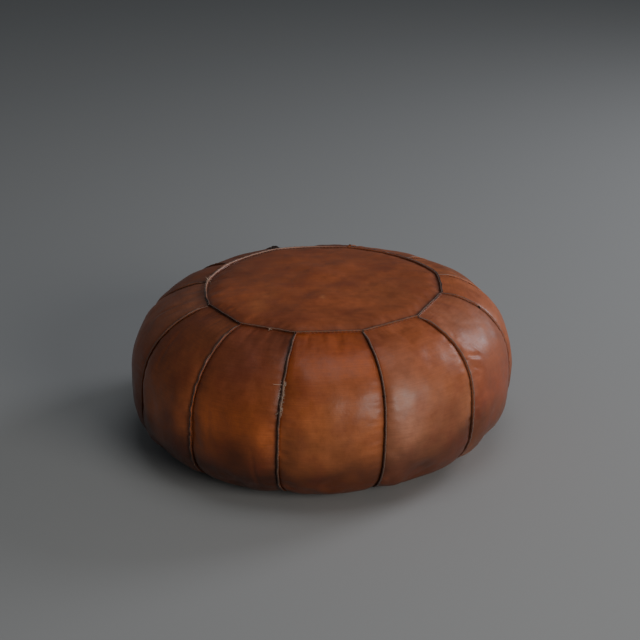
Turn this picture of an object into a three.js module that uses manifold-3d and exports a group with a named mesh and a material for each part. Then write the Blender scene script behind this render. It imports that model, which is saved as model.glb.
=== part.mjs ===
// Round floor pouf of vegetable-tanned leather: twelve side panels and a twelve-sided top, sewn with
// their raw edges standing out as fins, over a cotton bag of stuffing, with a zip across the base.
// Millimetres, +Z up. The origin is the middle of the footprint, at floor level.

import * as THREE from 'three';
import { mergeVertices } from 'three/addons/utils/BufferGeometryUtils.js';
import Module from 'manifold-3d';

const wasm = await Module();
wasm.setup();

// Driving dimensions of the cover
const WIDEST_RADIUS = 350;
const WIDEST_HEIGHT = 107;
const TOP_RADIUS = 219; // corner of the top panel
const TOP_HEIGHT = 281; // height of the top seam
const TOP_CROWN = 9; // rise of the top panel above its seam
const BASE_RADIUS = 200; // corner of the base panel
const SIDE_FLOOR_GAP = 1.4; // the side panels stop this far above the floor, on the base's edge
const LEATHER = 2;
const FIN_HEIGHT = 5; // seam allowance standing out of the cover
const FIN_STUB = 1; // the fins are trimmed to this at the corners
const SEAM_GAP = 0.15; // each piece keeps this far from the plane of its seam
const SEAM_TUCK = 7; // how far a side seam is drawn in below the middle of its panels
const SEAM_FACE = SEAM_GAP + LEATHER; // outer face of a turned edge, from the plane of its seam

// The panels are cut by hand, so they differ in width. Degrees, anticlockwise from the first seam.
const FIRST_SEAM = -102;
const PANEL_WIDTHS = [30, 31, 31, 23, 29, 32, 38, 29, 26, 35, 28, 28];
const TWIST_AT_TOP = 0.6; // the seams lean by a degree or so between the top and the widest line
const TWIST_BELOW = -0.7;
// The top is uneven too: how far each of its corners lies outwards and up from an even circle
const CORNER_SHIFTS = [
  [0, -1],
  [2, -3],
  [2, -5],
  [2.5, -4],
  [4, -2],
  [1, -4],
  [0, -2.5],
  [0, 0],
  [-3, -2],
  [-6.5, -4],
  [-6, 0],
  [0, -1],
];

// Base and zip
const DISH_RISE = 9; // the base is drawn up this far along the zip
const DISH_HALF_WIDTH = 62;
const DISH_HALF_LENGTH = 160; // level along the zip up to here
const SLIT_HALF_WIDTH = 6.5; // the leather stops this far from the middle of the zip
const SLIT_END = 186; // the two halves meet from here outwards
const TOOTH_PITCH = 5;
const TOOTH_COUNT = 58; // on each side
const TOOTH_THICKNESS = 2.6;
const TAPE_WIDTH = 14;
const TAPE_THICKNESS = 0.7;
const TAPE_INNER = 3.6; // distance of the tape's inner edge from the middle of the zip
const TAPE_HALF_LENGTH = 168;
const TAPE_SEAM = 3.5; // the stitching that holds the tape, from the slit's edge
const TOP_STOP_GAP = 5.5; // middle of the top stops beyond the last tooth's pitch
const BOTTOM_STOP_GAP = 3;
const STOP_LENGTH = 4;
const TOP_STOP_WIDTH = 2;
const TOP_STOP_OFFSET = 2.3; // each top stop's middle, from the middle of the zip
const BOTTOM_STOP_WIDTH = 6.4; // it spans both cords
const STOP_THICKNESS = TOOTH_THICKNESS + 0.8;
const STOP_CLEARANCE = 0.5; // the closed slider rests this far from the top stops
const SLIDER_LENGTH = 13;
const SLIDER_HALF_WIDTH = 5.2;
const SLIDER_PLATE = 1.4;
const SLIDER_CLEARANCE = 0.4;
const BRIDGE_WIDTH = 2;
const BRIDGE_BAR = 1;
const PULL_LENGTH = 26;
const PULL_WIDTH = 7;
const PULL_THICKNESS = 1.2;
const PULL_FLOOR_GAP = 0.4; // the pull's tip hangs this far above the floor
const HINGE_DROP = 0.95; // hinge axis below the slider's front plate

// Inside
const INNER_STATIONS = [0.12, 0.4, 0.7, 1, 1.3, 1.6]; // where the bag's outline follows the cover's
const LINER_GAP = 12; // from the cover's outer face to the cotton bag
const LINER_THICKNESS = 1.2;
const LINER_FLOOR = 20; // the bag's bottom clears the zip
const LINER_MOUTH_RADIUS = 22; // gathered neck that the bag is filled through
const STUFFING_GAP = 1.5;
const THREAD_RADIUS = 0.5;
const THREAD_CLEARANCE = 0.3;
const THREAD_HEIGHT = 2.6; // stitches run this far up the fin
const THREAD_SIDES = 6;
const THREAD_OFFSET = SEAM_FACE + THREAD_CLEARANCE + THREAD_RADIUS; // its middle, from the seam's plane

// Stations down the cover: 0 is the top seam, 1 the widest line and 2 the base seam
const STATIONS = [0, 0.08, 0.25, 0.5, 0.75, 1, 1.25, 1.5, 1.66, 1.84, 2];
const ACROSS = [-1, -0.65, 0, 0.65, 1];
const SIDE_COUNT = PANEL_WIDTHS.length;

const leatherTan = new THREE.MeshStandardMaterial({ color: '#8f4a1f', roughness: 0.45, metalness: 0 });
const threadCotton = new THREE.MeshStandardMaterial({ color: '#c9b393', roughness: 0.9, metalness: 0 });
const tapeCotton = new THREE.MeshStandardMaterial({ color: '#3b2a1d', roughness: 0.9, metalness: 0 });
const zipBrass = new THREE.MeshStandardMaterial({ color: '#b08d4c', roughness: 0.35, metalness: 1 });
const bagCotton = new THREE.MeshStandardMaterial({ color: '#d8cdb8', roughness: 0.95, metalness: 0 });
const wadding = new THREE.MeshStandardMaterial({ color: '#e6e0d2', roughness: 1, metalness: 0 });

// The cover's outline, radius against height, in two curves that meet upright at the widest line
const upperCurve = new THREE.CubicBezierCurve(
  new THREE.Vector2(TOP_RADIUS, TOP_HEIGHT),
  new THREE.Vector2(TOP_RADIUS + 129, TOP_HEIGHT - 27),
  new THREE.Vector2(WIDEST_RADIUS, WIDEST_HEIGHT + 56),
  new THREE.Vector2(WIDEST_RADIUS, WIDEST_HEIGHT),
);
const lowerCurve = new THREE.CubicBezierCurve(
  new THREE.Vector2(WIDEST_RADIUS, WIDEST_HEIGHT),
  new THREE.Vector2(WIDEST_RADIUS, WIDEST_HEIGHT - 95),
  new THREE.Vector2(BASE_RADIUS + 65, SIDE_FLOOR_GAP),
  new THREE.Vector2(BASE_RADIUS, SIDE_FLOOR_GAP),
);

function outline(station) {
  const curve = station < 1 ? upperCurve : lowerCurve;
  const t = station < 1 ? station : station - 1;
  const point = curve.getPoint(t);
  const tangent = curve.getTangent(t);
  return { radius: point.x, height: point.y, normal: new THREE.Vector2(-tangent.y, tangent.x) };
}

const radians = THREE.MathUtils.degToRad;
const smooth = THREE.MathUtils.smoothstep;

// How strongly the straight edges of the top and base panels still show at a station
const topHold = (station) => 1 - smooth(station, 0, 0.5);
const baseHold = (station) => smooth(station, 1.5, 2);

function seamAngle(seam, station) {
  let degrees = FIRST_SEAM;
  for (let panel = 0; panel < seam; panel++) degrees += PANEL_WIDTHS[panel];
  const twist = TWIST_AT_TOP + (TWIST_BELOW - TWIST_AT_TOP) * smooth(station, 0, 0.9);
  return radians(degrees + twist);
}

// The top's unevenness at an angle round it, between the two corners on either side
function cornerShift(angle) {
  const start = seamAngle(0, 0);
  const turn = start + THREE.MathUtils.euclideanModulo(angle - start, 2 * Math.PI);
  let seam = 0;
  while (seam + 1 < SIDE_COUNT && seamAngle(seam + 1, 0) <= turn) seam++;
  const first = seamAngle(seam, 0);
  const share = (turn - first) / (seamAngle(seam + 1, 0) - first);
  const [out, up] = CORNER_SHIFTS[seam];
  const [nextOut, nextUp] = CORNER_SHIFTS[(seam + 1) % SIDE_COUNT];
  return [THREE.MathUtils.lerp(out, nextOut, share), THREE.MathUtils.lerp(up, nextUp, share)];
}

// A place on the cover: angle round it, station down it, and how far it lies out of the leather
function coverPoint(angle, station, edgeShare, chord, out) {
  const { radius, height, normal } = outline(station);
  const hold = Math.max(topHold(station), baseHold(station));
  const lift = out - SEAM_TUCK * (1 - hold) * edgeShare;
  const [shiftOut, shiftUp] = cornerShift(angle);
  const along = radius * (1 - hold * (1 - chord)) + normal.x * lift + shiftOut * topHold(station);
  const up = height + normal.y * lift + shiftUp * topHold(station);
  return new THREE.Vector3(along * Math.cos(angle), along * Math.sin(angle), up);
}

// On side panel number panel, across runs from -1 at its first seam to 1 at its second
function panelPoint(panel, across, station, out) {
  const first = seamAngle(panel, station);
  const half = (seamAngle(panel + 1, station) - first) / 2;
  const chord = Math.cos(half) / Math.cos(across * half);
  return coverPoint(first + half * (1 + across), station, across ** 4, chord, out);
}

// At a seam, offset runs across the seam plane, anticlockwise, and out stands away from the cover
function seamPoint(seam, station, offset, out) {
  const angle = seamAngle(seam, station);
  const point = coverPoint(angle, station, 1, 1, out);
  return point.add(new THREE.Vector3(-Math.sin(angle), Math.cos(angle), 0).multiplyScalar(offset));
}

// The fin is at its full height between the corners, and lies down where the cover meets the floor
function finHeight(station) {
  const risen = FIN_STUB + (FIN_HEIGHT - FIN_STUB) * smooth(station, 0, 0.08);
  const room = seamPoint(0, station, 0, 0).z / Math.max(0.05, -outline(station).normal.y);
  return station < 1 ? risen : Math.min(FIN_HEIGHT, Math.max(FIN_STUB, room - 0.4));
}

// A closed body from loops of points that follow each other; each loop is an outer run and the
// inner run behind it, so that the two ends close as strips
function shell(loops) {
  const count = loops[0].length;
  const half = count / 2;
  const positions = loops.flat().flatMap((point) => [point.x, point.y, point.z]);
  const faces = [];
  const quad = (a, b, c, d) => faces.push(a, b, c, a, c, d);
  for (let row = 0; row + 1 < loops.length; row++) {
    for (let column = 0; column < count; column++) {
      const next = (column + 1) % count;
      const here = row * count;
      quad(here + column, here + count + column, here + count + next, here + next);
    }
  }
  const last = (loops.length - 1) * count;
  for (let column = 0; column + 1 < half; column++) {
    const back = count - 1 - column;
    quad(column, column + 1, back - 1, back);
    quad(last + back, last + back - 1, last + column + 1, last + column);
  }
  const geometry = new THREE.BufferGeometry();
  geometry.setAttribute('position', new THREE.Float32BufferAttribute(positions, 3));
  geometry.setIndex(faces);
  return geometry;
}

// A row of points across a panel's outer face, or at a depth in it, from seam to seam
function panelRow(panel, station, out) {
  return [
    seamPoint(panel, station, SEAM_GAP, out),
    ...ACROSS.slice(1, -1).map((across) => panelPoint(panel, across, station, out)),
    seamPoint(panel + 1, station, -SEAM_GAP, out),
  ];
}

// A panel's section at a station: its outer face, then its inner face backwards. At the top and base
// seams it stands square to the floor, under the turned edges
function panelSection(panel, station) {
  const outer = panelRow(panel, station, 0);
  const inner = panelRow(panel, station, -LEATHER);
  if (station > 0 && station < 2) return [...outer, ...inner.reverse()];
  const edge = outer.map((point) => movedOut(point, SEAM_GAP, 0));
  const behind = edge.map((point) => movedOut(point, 0, station > 0 ? LEATHER : -LEATHER));
  return [...edge, ...behind.reverse()];
}

// Half of a side seam's fin: the panel's edge on that side of the seam, turned to stand out
function finHalf(seam, side) {
  const sections = STATIONS.slice(0, -2).map((station) => {
    const height = finHeight(station);
    const corner = (offset, out) => {
      const point = seamPoint(seam, station, side * offset, out);
      return station > 0 ? point : movedOut(point, SEAM_GAP + LEATHER * outline(0).normal.x, 0);
    };
    const section = [
      corner(SEAM_FACE, height),
      corner(SEAM_FACE, -LEATHER),
      corner(SEAM_GAP, -LEATHER),
      corner(SEAM_GAP, height),
    ];
    return side > 0 ? section : section.reverse();
  });
  return shell(sections);
}

// A panel's edge at the top or the base seam, turned up from the height low
function turnedEdge(panel, station, low) {
  const sections = panelRow(panel, station, 0).map((point) => [
    movedOut(point, SEAM_FACE, FIN_HEIGHT),
    movedOut(point, SEAM_GAP, FIN_HEIGHT),
    movedOut(point, SEAM_GAP, low),
    movedOut(point, SEAM_FACE, low),
  ]);
  return shell(sections);
}

// One side panel: a bulged strip of leather with all four edges turned
function sidePanel(panel) {
  const strip = shell(STATIONS.map((station) => panelSection(panel, station)));
  const edges = [
    finHalf(panel, 1),
    finHalf(panel + 1, -1),
    turnedEdge(panel, 0, -LEATHER),
    turnedEdge(panel, 2, 0),
  ];
  return fromSolid(edges.reduce((whole, edge) => whole.add(solid(edge)), solid(strip)));
}

// A point moved away from the pouf's axis along the ground, and up
function movedOut(point, distance, lift) {
  const flat = Math.hypot(point.x, point.y);
  const scale = (flat + distance) / flat;
  return new THREE.Vector3(point.x * scale, point.y * scale, point.z + lift);
}

// Points round the twelve-sided seam line at a station, corners and the middles of the sides
function seamPolygon(station) {
  const points = [];
  for (let panel = 0; panel < SIDE_COUNT; panel++) {
    for (const across of [-1, 0]) points.push(panelPoint(panel, across, station, 0));
  }
  return points;
}

// A disc of leather: rings of points from its middle out to a turned edge, given for each face
function disc(upperRings, lowerRings, upperMiddle, lowerMiddle) {
  const count = upperRings[0].length;
  const rings = [...upperRings, ...[...lowerRings].reverse()];
  const points = [...rings.flat(), upperMiddle, lowerMiddle];
  const faces = [];
  for (let row = 0; row + 1 < rings.length; row++) {
    for (let column = 0; column < count; column++) {
      const next = (column + 1) % count;
      const here = row * count;
      faces.push(here + column, here + count + column, here + count + next);
      faces.push(here + column, here + count + next, here + next);
    }
  }
  const last = (rings.length - 1) * count;
  for (let column = 0; column < count; column++) {
    const next = (column + 1) % count;
    faces.push(points.length - 2, column, next);
    faces.push(points.length - 1, last + next, last + column);
  }
  const geometry = new THREE.BufferGeometry();
  const positions = points.flatMap((point) => [point.x, point.y, point.z]);
  geometry.setAttribute('position', new THREE.Float32BufferAttribute(positions, 3));
  geometry.setIndex(faces);
  return geometry;
}

// The top panel: slightly crowned, its edge turned up against the side panels' top edges
function topPanel() {
  const corners = seamPolygon(0);
  const ring = (share, inset, lift) =>
    corners.map((corner) => {
      const flat = Math.hypot(corner.x, corner.y);
      const scale = (share * (flat - inset)) / flat;
      const height = THREE.MathUtils.lerp(TOP_HEIGHT + TOP_CROWN, corner.z, share * share);
      return new THREE.Vector3(corner.x * scale, corner.y * scale, height + lift);
    });
  const shares = [0.35, 0.65, 0.88];
  const upper = [...shares, 1].map((share) => ring(share, SEAM_FACE, 0));
  const lower = shares.map((share) => ring(share, SEAM_FACE, -LEATHER));
  lower.push(ring(1, SEAM_GAP, -LEATHER));
  upper.push(ring(1, SEAM_FACE, FIN_HEIGHT));
  lower.push(ring(1, SEAM_GAP, FIN_HEIGHT));
  const middle = new THREE.Vector3(0, 0, TOP_HEIGHT + TOP_CROWN);
  return disc(upper, lower, middle, middle.clone().setZ(middle.z - LEATHER));
}

// How far the base is drawn up over the floor at a place on it
function dishRise(x, y) {
  const sideways = 1 - smooth(Math.abs(y), SLIT_HALF_WIDTH, DISH_HALF_WIDTH);
  const lengthways = 1 - smooth(Math.abs(x), DISH_HALF_LENGTH, BASE_RADIUS - 6);
  return DISH_RISE * sideways * lengthways;
}

// Half of the base, on the side of the zip that side (1 or -1) gives, with its outer edge turned in
function baseHalf(side) {
  const closing = (x) => smooth(Math.abs(x), DISH_HALF_LENGTH, SLIT_END);
  const slit = (x) => THREE.MathUtils.lerp(SLIT_HALF_WIDTH, SEAM_GAP, closing(x));
  const rim = baseRim(side);
  const column = (corner) => {
    const flat = Math.hypot(corner.x, corner.y);
    const edge = (flat - SEAM_GAP) / flat;
    const inner = (flat - SEAM_GAP - LEATHER) / flat;
    const x = THREE.MathUtils.clamp(corner.x * inner, -SLIT_END, SLIT_END);
    const near = new THREE.Vector2(x, side * slit(x));
    const far = new THREE.Vector2(corner.x * inner, corner.y * inner);
    const run = [0, 0.12, 0.3, 0.6, 1].map((share) => near.clone().lerp(far, share));
    const lower = run.map(({ x, y }) => new THREE.Vector3(x, y, dishRise(x, y)));
    const upper = lower.map(({ x, y, z }) => new THREE.Vector3(x, y, z + LEATHER));
    lower[4].set(corner.x * edge, corner.y * edge, 0);
    lower.push(new THREE.Vector3(corner.x * edge, corner.y * edge, FIN_HEIGHT));
    upper.push(new THREE.Vector3(corner.x * inner, corner.y * inner, FIN_HEIGHT));
    return [...lower, ...upper.reverse()];
  };
  return shell(rim.map(column));
}

// The base seam's corners and side middles on one side of the zip, anticlockwise round that side,
// with the two places where the seam line passes the slit's ends
function baseRim(side) {
  const ring = seamPolygon(2);
  const rim = ring.filter((point) => point.y * side > 8);
  const ends = [1, -1].map((direction) => {
    const at = ring.findIndex((point, index) => {
      const next = ring[(index + 1) % ring.length];
      return point.y * next.y <= 0 && point.x * direction > 0;
    });
    const from = ring[at];
    const to = ring[(at + 1) % ring.length];
    const share = (side * SEAM_GAP * 4 - from.y) / (to.y - from.y);
    return from.clone().lerp(to, share);
  });
  rim.push(...ends);
  const turn = (point) => Math.atan2(point.y * side, point.x);
  rim.sort((a, b) => turn(a) - turn(b));
  return side > 0 ? rim : rim.reverse();
}

// The corners of a thread's section
function threadSection() {
  const corners = [];
  for (let corner = 0; corner < THREAD_SIDES; corner++) {
    const turn = (corner * 2 * Math.PI) / THREAD_SIDES;
    corners.push(new THREE.Vector2(Math.cos(turn), Math.sin(turn)).multiplyScalar(THREAD_RADIUS));
  }
  return corners;
}

// A tube of thread along a curve
function strand(extrudePath, steps) {
  return new THREE.ExtrudeGeometry(new THREE.Shape(threadSection()), { steps, extrudePath });
}

// Stitching of a side seam, along one face of its fin, at the fin's own stations so it keeps clear
function sideThread(seam) {
  const section = threadSection().reverse();
  const rings = STATIONS.slice(1, -3).map((station) =>
    section.map(({ x, y }) => seamPoint(seam, station, THREAD_OFFSET + x, THREAD_HEIGHT + y)),
  );
  return shell(rings);
}

// Stitching round the top seam, on the fin's inner face, and round the base seam, on its flesh side
function ringThread(station) {
  const points = seamPolygon(station).map((point) => movedOut(point, -THREAD_OFFSET, THREAD_HEIGHT));
  const endGap = 0.1; // its two ends stop this share of a step short of the first corner
  const start = points[0].clone().lerp(points[1], endGap);
  const end = points[0].clone().lerp(points[points.length - 1], endGap);
  const route = [start, ...points.slice(1), end];
  const path = new THREE.CurvePath();
  for (let index = 0; index + 1 < route.length; index++) {
    path.add(new THREE.LineCurve3(route[index], route[index + 1]));
  }
  const stepsPerSide = 3;
  return strand(path, stepsPerSide * SIDE_COUNT);
}

// Stitching that holds one half of the base to its zip tape
function zipThread(side) {
  const y = side * (SLIT_HALF_WIDTH + TAPE_SEAM);
  const seamRise = DISH_RISE - 1.2; // the leather has dipped this far by its outer stitches
  const under = seamRise - THREAD_CLEARANCE - THREAD_RADIUS;
  const end = DISH_HALF_LENGTH - 10;
  const path = new THREE.LineCurve3(new THREE.Vector3(-end, y, under), new THREE.Vector3(end, y, under));
  return strand(path, 1);
}

const TAPE_GAP = 0.3; // between the tape and the leather under it
const ZIP_HEIGHT = DISH_RISE + LEATHER + TAPE_GAP + TAPE_THICKNESS / 2; // middle plane of the chain

function box(width, depth, height, x, y, z) {
  return new THREE.BoxGeometry(width, depth, height).translate(x, y, z);
}

function zipTape(side) {
  const middle = side * (TAPE_INNER + TAPE_WIDTH / 2);
  return box(TAPE_HALF_LENGTH * 2, TAPE_WIDTH, TAPE_THICKNESS, 0, middle, ZIP_HEIGHT);
}

// One row of teeth on its cord, as a comb: the two rows mesh with half a pitch between them
function zipTeeth(side) {
  const cordInner = 1.3;
  const cordOuter = TAPE_INNER - TAPE_GAP;
  const toothReach = -0.9;
  const toothGap = 0.3; // between meshed teeth
  const toothWidth = TOOTH_PITCH / 2 - toothGap;
  const start = (-TOOTH_COUNT * TOOTH_PITCH) / 2 + (side > 0 ? 0 : TOOTH_PITCH / 2);
  const comb = new THREE.Shape();
  comb.moveTo(start, cordOuter);
  comb.lineTo(start, cordInner);
  for (let tooth = 0; tooth < TOOTH_COUNT; tooth++) {
    const x = start + tooth * TOOTH_PITCH;
    if (tooth > 0) comb.lineTo(x, cordInner);
    comb.lineTo(x, toothReach);
    comb.lineTo(x + toothWidth, toothReach);
    comb.lineTo(x + toothWidth, cordInner);
  }
  comb.lineTo(start + (TOOTH_COUNT - 1) * TOOTH_PITCH + toothWidth, cordOuter);
  comb.closePath();
  const geometry = new THREE.ExtrudeGeometry(comb, { depth: TOOTH_THICKNESS, bevelEnabled: false });
  geometry.translate(0, 0, ZIP_HEIGHT - TOOTH_THICKNESS / 2);
  return side > 0 ? geometry : geometry.rotateX(Math.PI).translate(0, 0, 2 * ZIP_HEIGHT);
}

// Metal stops: one on each cord beyond the closed end, and one across both at the other end
const CHAIN_END = (TOOTH_COUNT * TOOTH_PITCH) / 2;
const TOP_STOP_X = CHAIN_END + TOP_STOP_GAP;
const SLIDER_X = TOP_STOP_X - (STOP_LENGTH + SLIDER_LENGTH) / 2 - STOP_CLEARANCE;

function topStop(side) {
  const y = side * TOP_STOP_OFFSET;
  return box(STOP_LENGTH, TOP_STOP_WIDTH, STOP_THICKNESS, TOP_STOP_X, y, ZIP_HEIGHT);
}

function bottomStop() {
  const x = -CHAIN_END - BOTTOM_STOP_GAP;
  return box(STOP_LENGTH, BOTTOM_STOP_WIDTH, STOP_THICKNESS, x, 0, ZIP_HEIGHT);
}

function solid(geometry) {
  const bare = geometry.clone();
  bare.deleteAttribute('normal');
  bare.deleteAttribute('uv');
  const merged = mergeVertices(bare, 1e-4);
  const vertProperties = new Float32Array(merged.attributes.position.array);
  const triVerts = new Uint32Array(merged.index.array);
  return new wasm.Manifold(new wasm.Mesh({ numProp: 3, vertProperties, triVerts }));
}

function fromSolid(body) {
  const mesh = body.getMesh();
  const geometry = new THREE.BufferGeometry();
  geometry.setAttribute('position', new THREE.BufferAttribute(mesh.vertProperties, 3));
  geometry.setIndex(new THREE.BufferAttribute(mesh.triVerts, 1));
  return geometry;
}

// One plate of the slider with its two side lips, in profile across the zip, drawn facing down
function sliderPlate() {
  const tapeClearance = 0.35;
  const lipDepth = TOOTH_THICKNESS / 2 + SLIDER_CLEARANCE - TAPE_THICKNESS / 2 - tapeClearance;
  const outer = SLIDER_HALF_WIDTH;
  const inner = outer - 1; // the lips are 1 mm thick
  const profile = new THREE.Shape();
  profile.moveTo(-outer, -SLIDER_PLATE);
  profile.lineTo(outer, -SLIDER_PLATE);
  profile.lineTo(outer, lipDepth);
  profile.lineTo(inner, lipDepth);
  profile.lineTo(inner, 0);
  profile.lineTo(-inner, 0);
  profile.lineTo(-inner, lipDepth);
  profile.lineTo(-outer, lipDepth);
  profile.closePath();
  const geometry = new THREE.ExtrudeGeometry(profile, { depth: SLIDER_LENGTH, bevelEnabled: false });
  geometry.translate(0, 0, -SLIDER_LENGTH / 2);
  geometry.rotateX(Math.PI / 2); // profile's y becomes z
  geometry.rotateZ(Math.PI / 2); // and its x becomes y
  return geometry;
}

const PLATE_HEIGHT = ZIP_HEIGHT - TOOTH_THICKNESS / 2 - SLIDER_CLEARANCE; // inner face of the front plate
const HINGE_HEIGHT = PLATE_HEIGHT - SLIDER_PLATE - HINGE_DROP;

// The visible plate under the zip, with the bridge that the pull hangs on
function sliderFront() {
  const plate = solid(sliderPlate().translate(SLIDER_X, 0, PLATE_HEIGHT));
  const opening = 2 * HINGE_DROP;
  const outer = 3.6; // half widths across the bridge's legs, and across its flat underside
  const inner = 2.5;
  const flat = 2.9;
  const root = 0.5; // the legs run this far into the plate
  const arch = new THREE.Shape();
  arch.moveTo(-outer, root);
  arch.lineTo(-outer, -opening);
  arch.lineTo(-flat, -opening - BRIDGE_BAR);
  arch.lineTo(flat, -opening - BRIDGE_BAR);
  arch.lineTo(outer, -opening);
  arch.lineTo(outer, root);
  arch.lineTo(inner, root);
  arch.lineTo(inner, -opening);
  arch.lineTo(-inner, -opening);
  arch.lineTo(-inner, root);
  arch.closePath();
  const bridge = new THREE.ExtrudeGeometry(arch, { depth: BRIDGE_WIDTH, bevelEnabled: false });
  bridge.translate(0, 0, -BRIDGE_WIDTH / 2).rotateX(Math.PI / 2);
  bridge.translate(SLIDER_X, 0, PLATE_HEIGHT - SLIDER_PLATE);
  return fromSolid(plate.add(solid(bridge)));
}

function sliderBack() {
  const flipped = sliderPlate().rotateX(Math.PI);
  return flipped.translate(SLIDER_X, 0, 2 * ZIP_HEIGHT - PLATE_HEIGHT);
}

// A flat tab with an eye round the bridge; drawn along -X from the hinge axis, then tipped down
function zipPull() {
  const half = PULL_WIDTH / 2;
  const bar = PULL_THICKNESS / 2;
  const neck = 2.9; // half width at the eye
  const neckEnd = -6; // where it starts to widen
  const shoulder = -9;
  const eyeHalf = 1.6;
  const eyeEnd = -4.6;
  const tab = new THREE.Shape();
  tab.moveTo(bar, -neck);
  tab.lineTo(bar, neck);
  tab.lineTo(neckEnd, neck);
  tab.lineTo(shoulder, half);
  tab.absarc(-PULL_LENGTH + half, 0, half, Math.PI / 2, (Math.PI * 3) / 2, false);
  tab.lineTo(shoulder, -half);
  tab.lineTo(neckEnd, -neck);
  tab.closePath();
  const eye = new THREE.Path();
  eye.moveTo(-bar, -eyeHalf);
  eye.lineTo(eyeEnd, -eyeHalf);
  eye.lineTo(eyeEnd, eyeHalf);
  eye.lineTo(-bar, eyeHalf);
  eye.closePath();
  tab.holes.push(eye);
  const options = { depth: PULL_THICKNESS, bevelEnabled: false, curveSegments: 8 };
  const geometry = new THREE.ExtrudeGeometry(tab, options);
  const drop = HINGE_HEIGHT - PULL_THICKNESS / 2 - PULL_FLOOR_GAP;
  geometry.translate(0, 0, -PULL_THICKNESS / 2);
  geometry.rotateY(-Math.asin(drop / PULL_LENGTH));
  return geometry.translate(SLIDER_X, 0, HINGE_HEIGHT);
}

// The cover's outline moved in, for the pieces inside it
function innerOutline(gap, floor) {
  const points = [];
  for (const station of INNER_STATIONS) {
    const { radius, height, normal } = outline(station);
    points.push(new THREE.Vector2(radius - gap * normal.x, height - gap * normal.y));
  }
  points.push(new THREE.Vector2(BASE_RADIUS - gap, floor));
  return points;
}

// A body turned about the pouf's axis
function turned(profile) {
  return new THREE.LatheGeometry(profile, 24).rotateX(Math.PI / 2);
}

// A thin cotton bag with a gathered mouth underneath, which keeps its inside open
function linerBag() {
  const top = TOP_HEIGHT - LINER_GAP;
  const outer = [new THREE.Vector2(0, top), ...innerOutline(LINER_GAP, LINER_FLOOR)];
  outer.push(new THREE.Vector2(LINER_MOUTH_RADIUS, LINER_FLOOR));
  const wall = LINER_THICKNESS;
  const inner = innerOutline(LINER_GAP + wall, LINER_FLOOR + wall);
  const profile = [
    new THREE.Vector2(0, top - wall),
    ...inner,
    new THREE.Vector2(LINER_MOUTH_RADIUS, LINER_FLOOR + wall),
    ...outer.reverse(),
  ];
  return turned(profile);
}

function stuffing() {
  const gap = LINER_GAP + LINER_THICKNESS + STUFFING_GAP;
  const floor = LINER_FLOOR + LINER_THICKNESS + STUFFING_GAP;
  const profile = [
    new THREE.Vector2(0, TOP_HEIGHT - gap),
    ...innerOutline(gap, floor),
    new THREE.Vector2(0, floor),
  ];
  return turned(profile.reverse());
}

const cover = new THREE.Group();
const place = (name, geometry, material) => {
  const mesh = new THREE.Mesh(geometry, material);
  mesh.name = name;
  cover.add(mesh);
};

place('top_panel', topPanel(), leatherTan);
for (let panel = 0; panel < SIDE_COUNT; panel++) {
  const number = String(panel + 1).padStart(2, '0');
  place(`side_panel_${number}`, sidePanel(panel), leatherTan);
  place(`side_seam_thread_${number}`, sideThread(panel), threadCotton);
}
place('top_seam_thread', ringThread(0), threadCotton);
place('base_seam_thread', ringThread(2), threadCotton);
for (const side of [1, -1]) {
  const name = side > 0 ? 'left' : 'right';
  place(`base_panel_${name}`, baseHalf(side), leatherTan);
  place(`zip_tape_${name}`, zipTape(side), tapeCotton);
  place(`zip_teeth_${name}`, zipTeeth(side), zipBrass);
  place(`zip_top_stop_${name}`, topStop(side), zipBrass);
  place(`zip_seam_thread_${name}`, zipThread(side), threadCotton);
}
place('zip_bottom_stop', bottomStop(), zipBrass);
place('zip_slider_front', sliderFront(), zipBrass);
place('zip_slider_back', sliderBack(), zipBrass);
place('zip_pull', zipPull(), zipBrass);
place('liner_bag', linerBag(), bagCotton);
place('stuffing', stuffing(), wadding);

// The panels differ, so the cover is set with the middle of its footprint on the origin
const extent = new THREE.Box3().setFromObject(cover);
const middle = extent.getCenter(new THREE.Vector3());
cover.position.set(-middle.x, -middle.y, -extent.min.z);

const pouf = new THREE.Group();
pouf.add(cover);

export default pouf;
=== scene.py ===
import math

import bmesh
import bpy
import numpy as np
from mathutils import Matrix, Vector


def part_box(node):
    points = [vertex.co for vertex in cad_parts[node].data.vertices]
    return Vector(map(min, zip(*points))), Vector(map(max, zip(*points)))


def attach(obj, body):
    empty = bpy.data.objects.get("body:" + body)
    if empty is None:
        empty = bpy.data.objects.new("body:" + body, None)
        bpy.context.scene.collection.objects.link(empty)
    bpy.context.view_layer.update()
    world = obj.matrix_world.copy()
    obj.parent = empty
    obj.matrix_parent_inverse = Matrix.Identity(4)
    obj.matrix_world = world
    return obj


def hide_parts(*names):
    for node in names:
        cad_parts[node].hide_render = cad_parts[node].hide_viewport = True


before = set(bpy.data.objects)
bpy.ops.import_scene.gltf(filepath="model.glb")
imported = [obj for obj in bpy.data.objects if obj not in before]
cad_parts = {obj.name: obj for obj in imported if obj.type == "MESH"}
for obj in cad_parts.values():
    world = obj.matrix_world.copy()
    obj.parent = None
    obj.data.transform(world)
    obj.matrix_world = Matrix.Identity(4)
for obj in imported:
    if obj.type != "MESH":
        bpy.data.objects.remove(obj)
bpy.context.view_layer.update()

scene = bpy.context.scene
mm = 0.001
sideCount = 12
middle = sum(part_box("stuffing"), Vector()) / 2  # the stuffing is round, so this is the pouf's axis
print("frame loaded:", len(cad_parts), "nodes")


def linear(hexColour):
    parts = [int(hexColour[i:i + 2], 16) / 255 for i in (1, 3, 5)]
    return tuple(p / 12.92 if p <= 0.04045 else ((p + 0.055) / 1.055) ** 2.4 for p in parts) + (1.0,)


def smooth(value, low, high):
    share = np.clip((value - low) / (high - low), 0, 1)
    return share * share * (3 - 2 * share)


def bell(distance, width):
    return np.exp(-(distance / width) ** 2)


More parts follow.
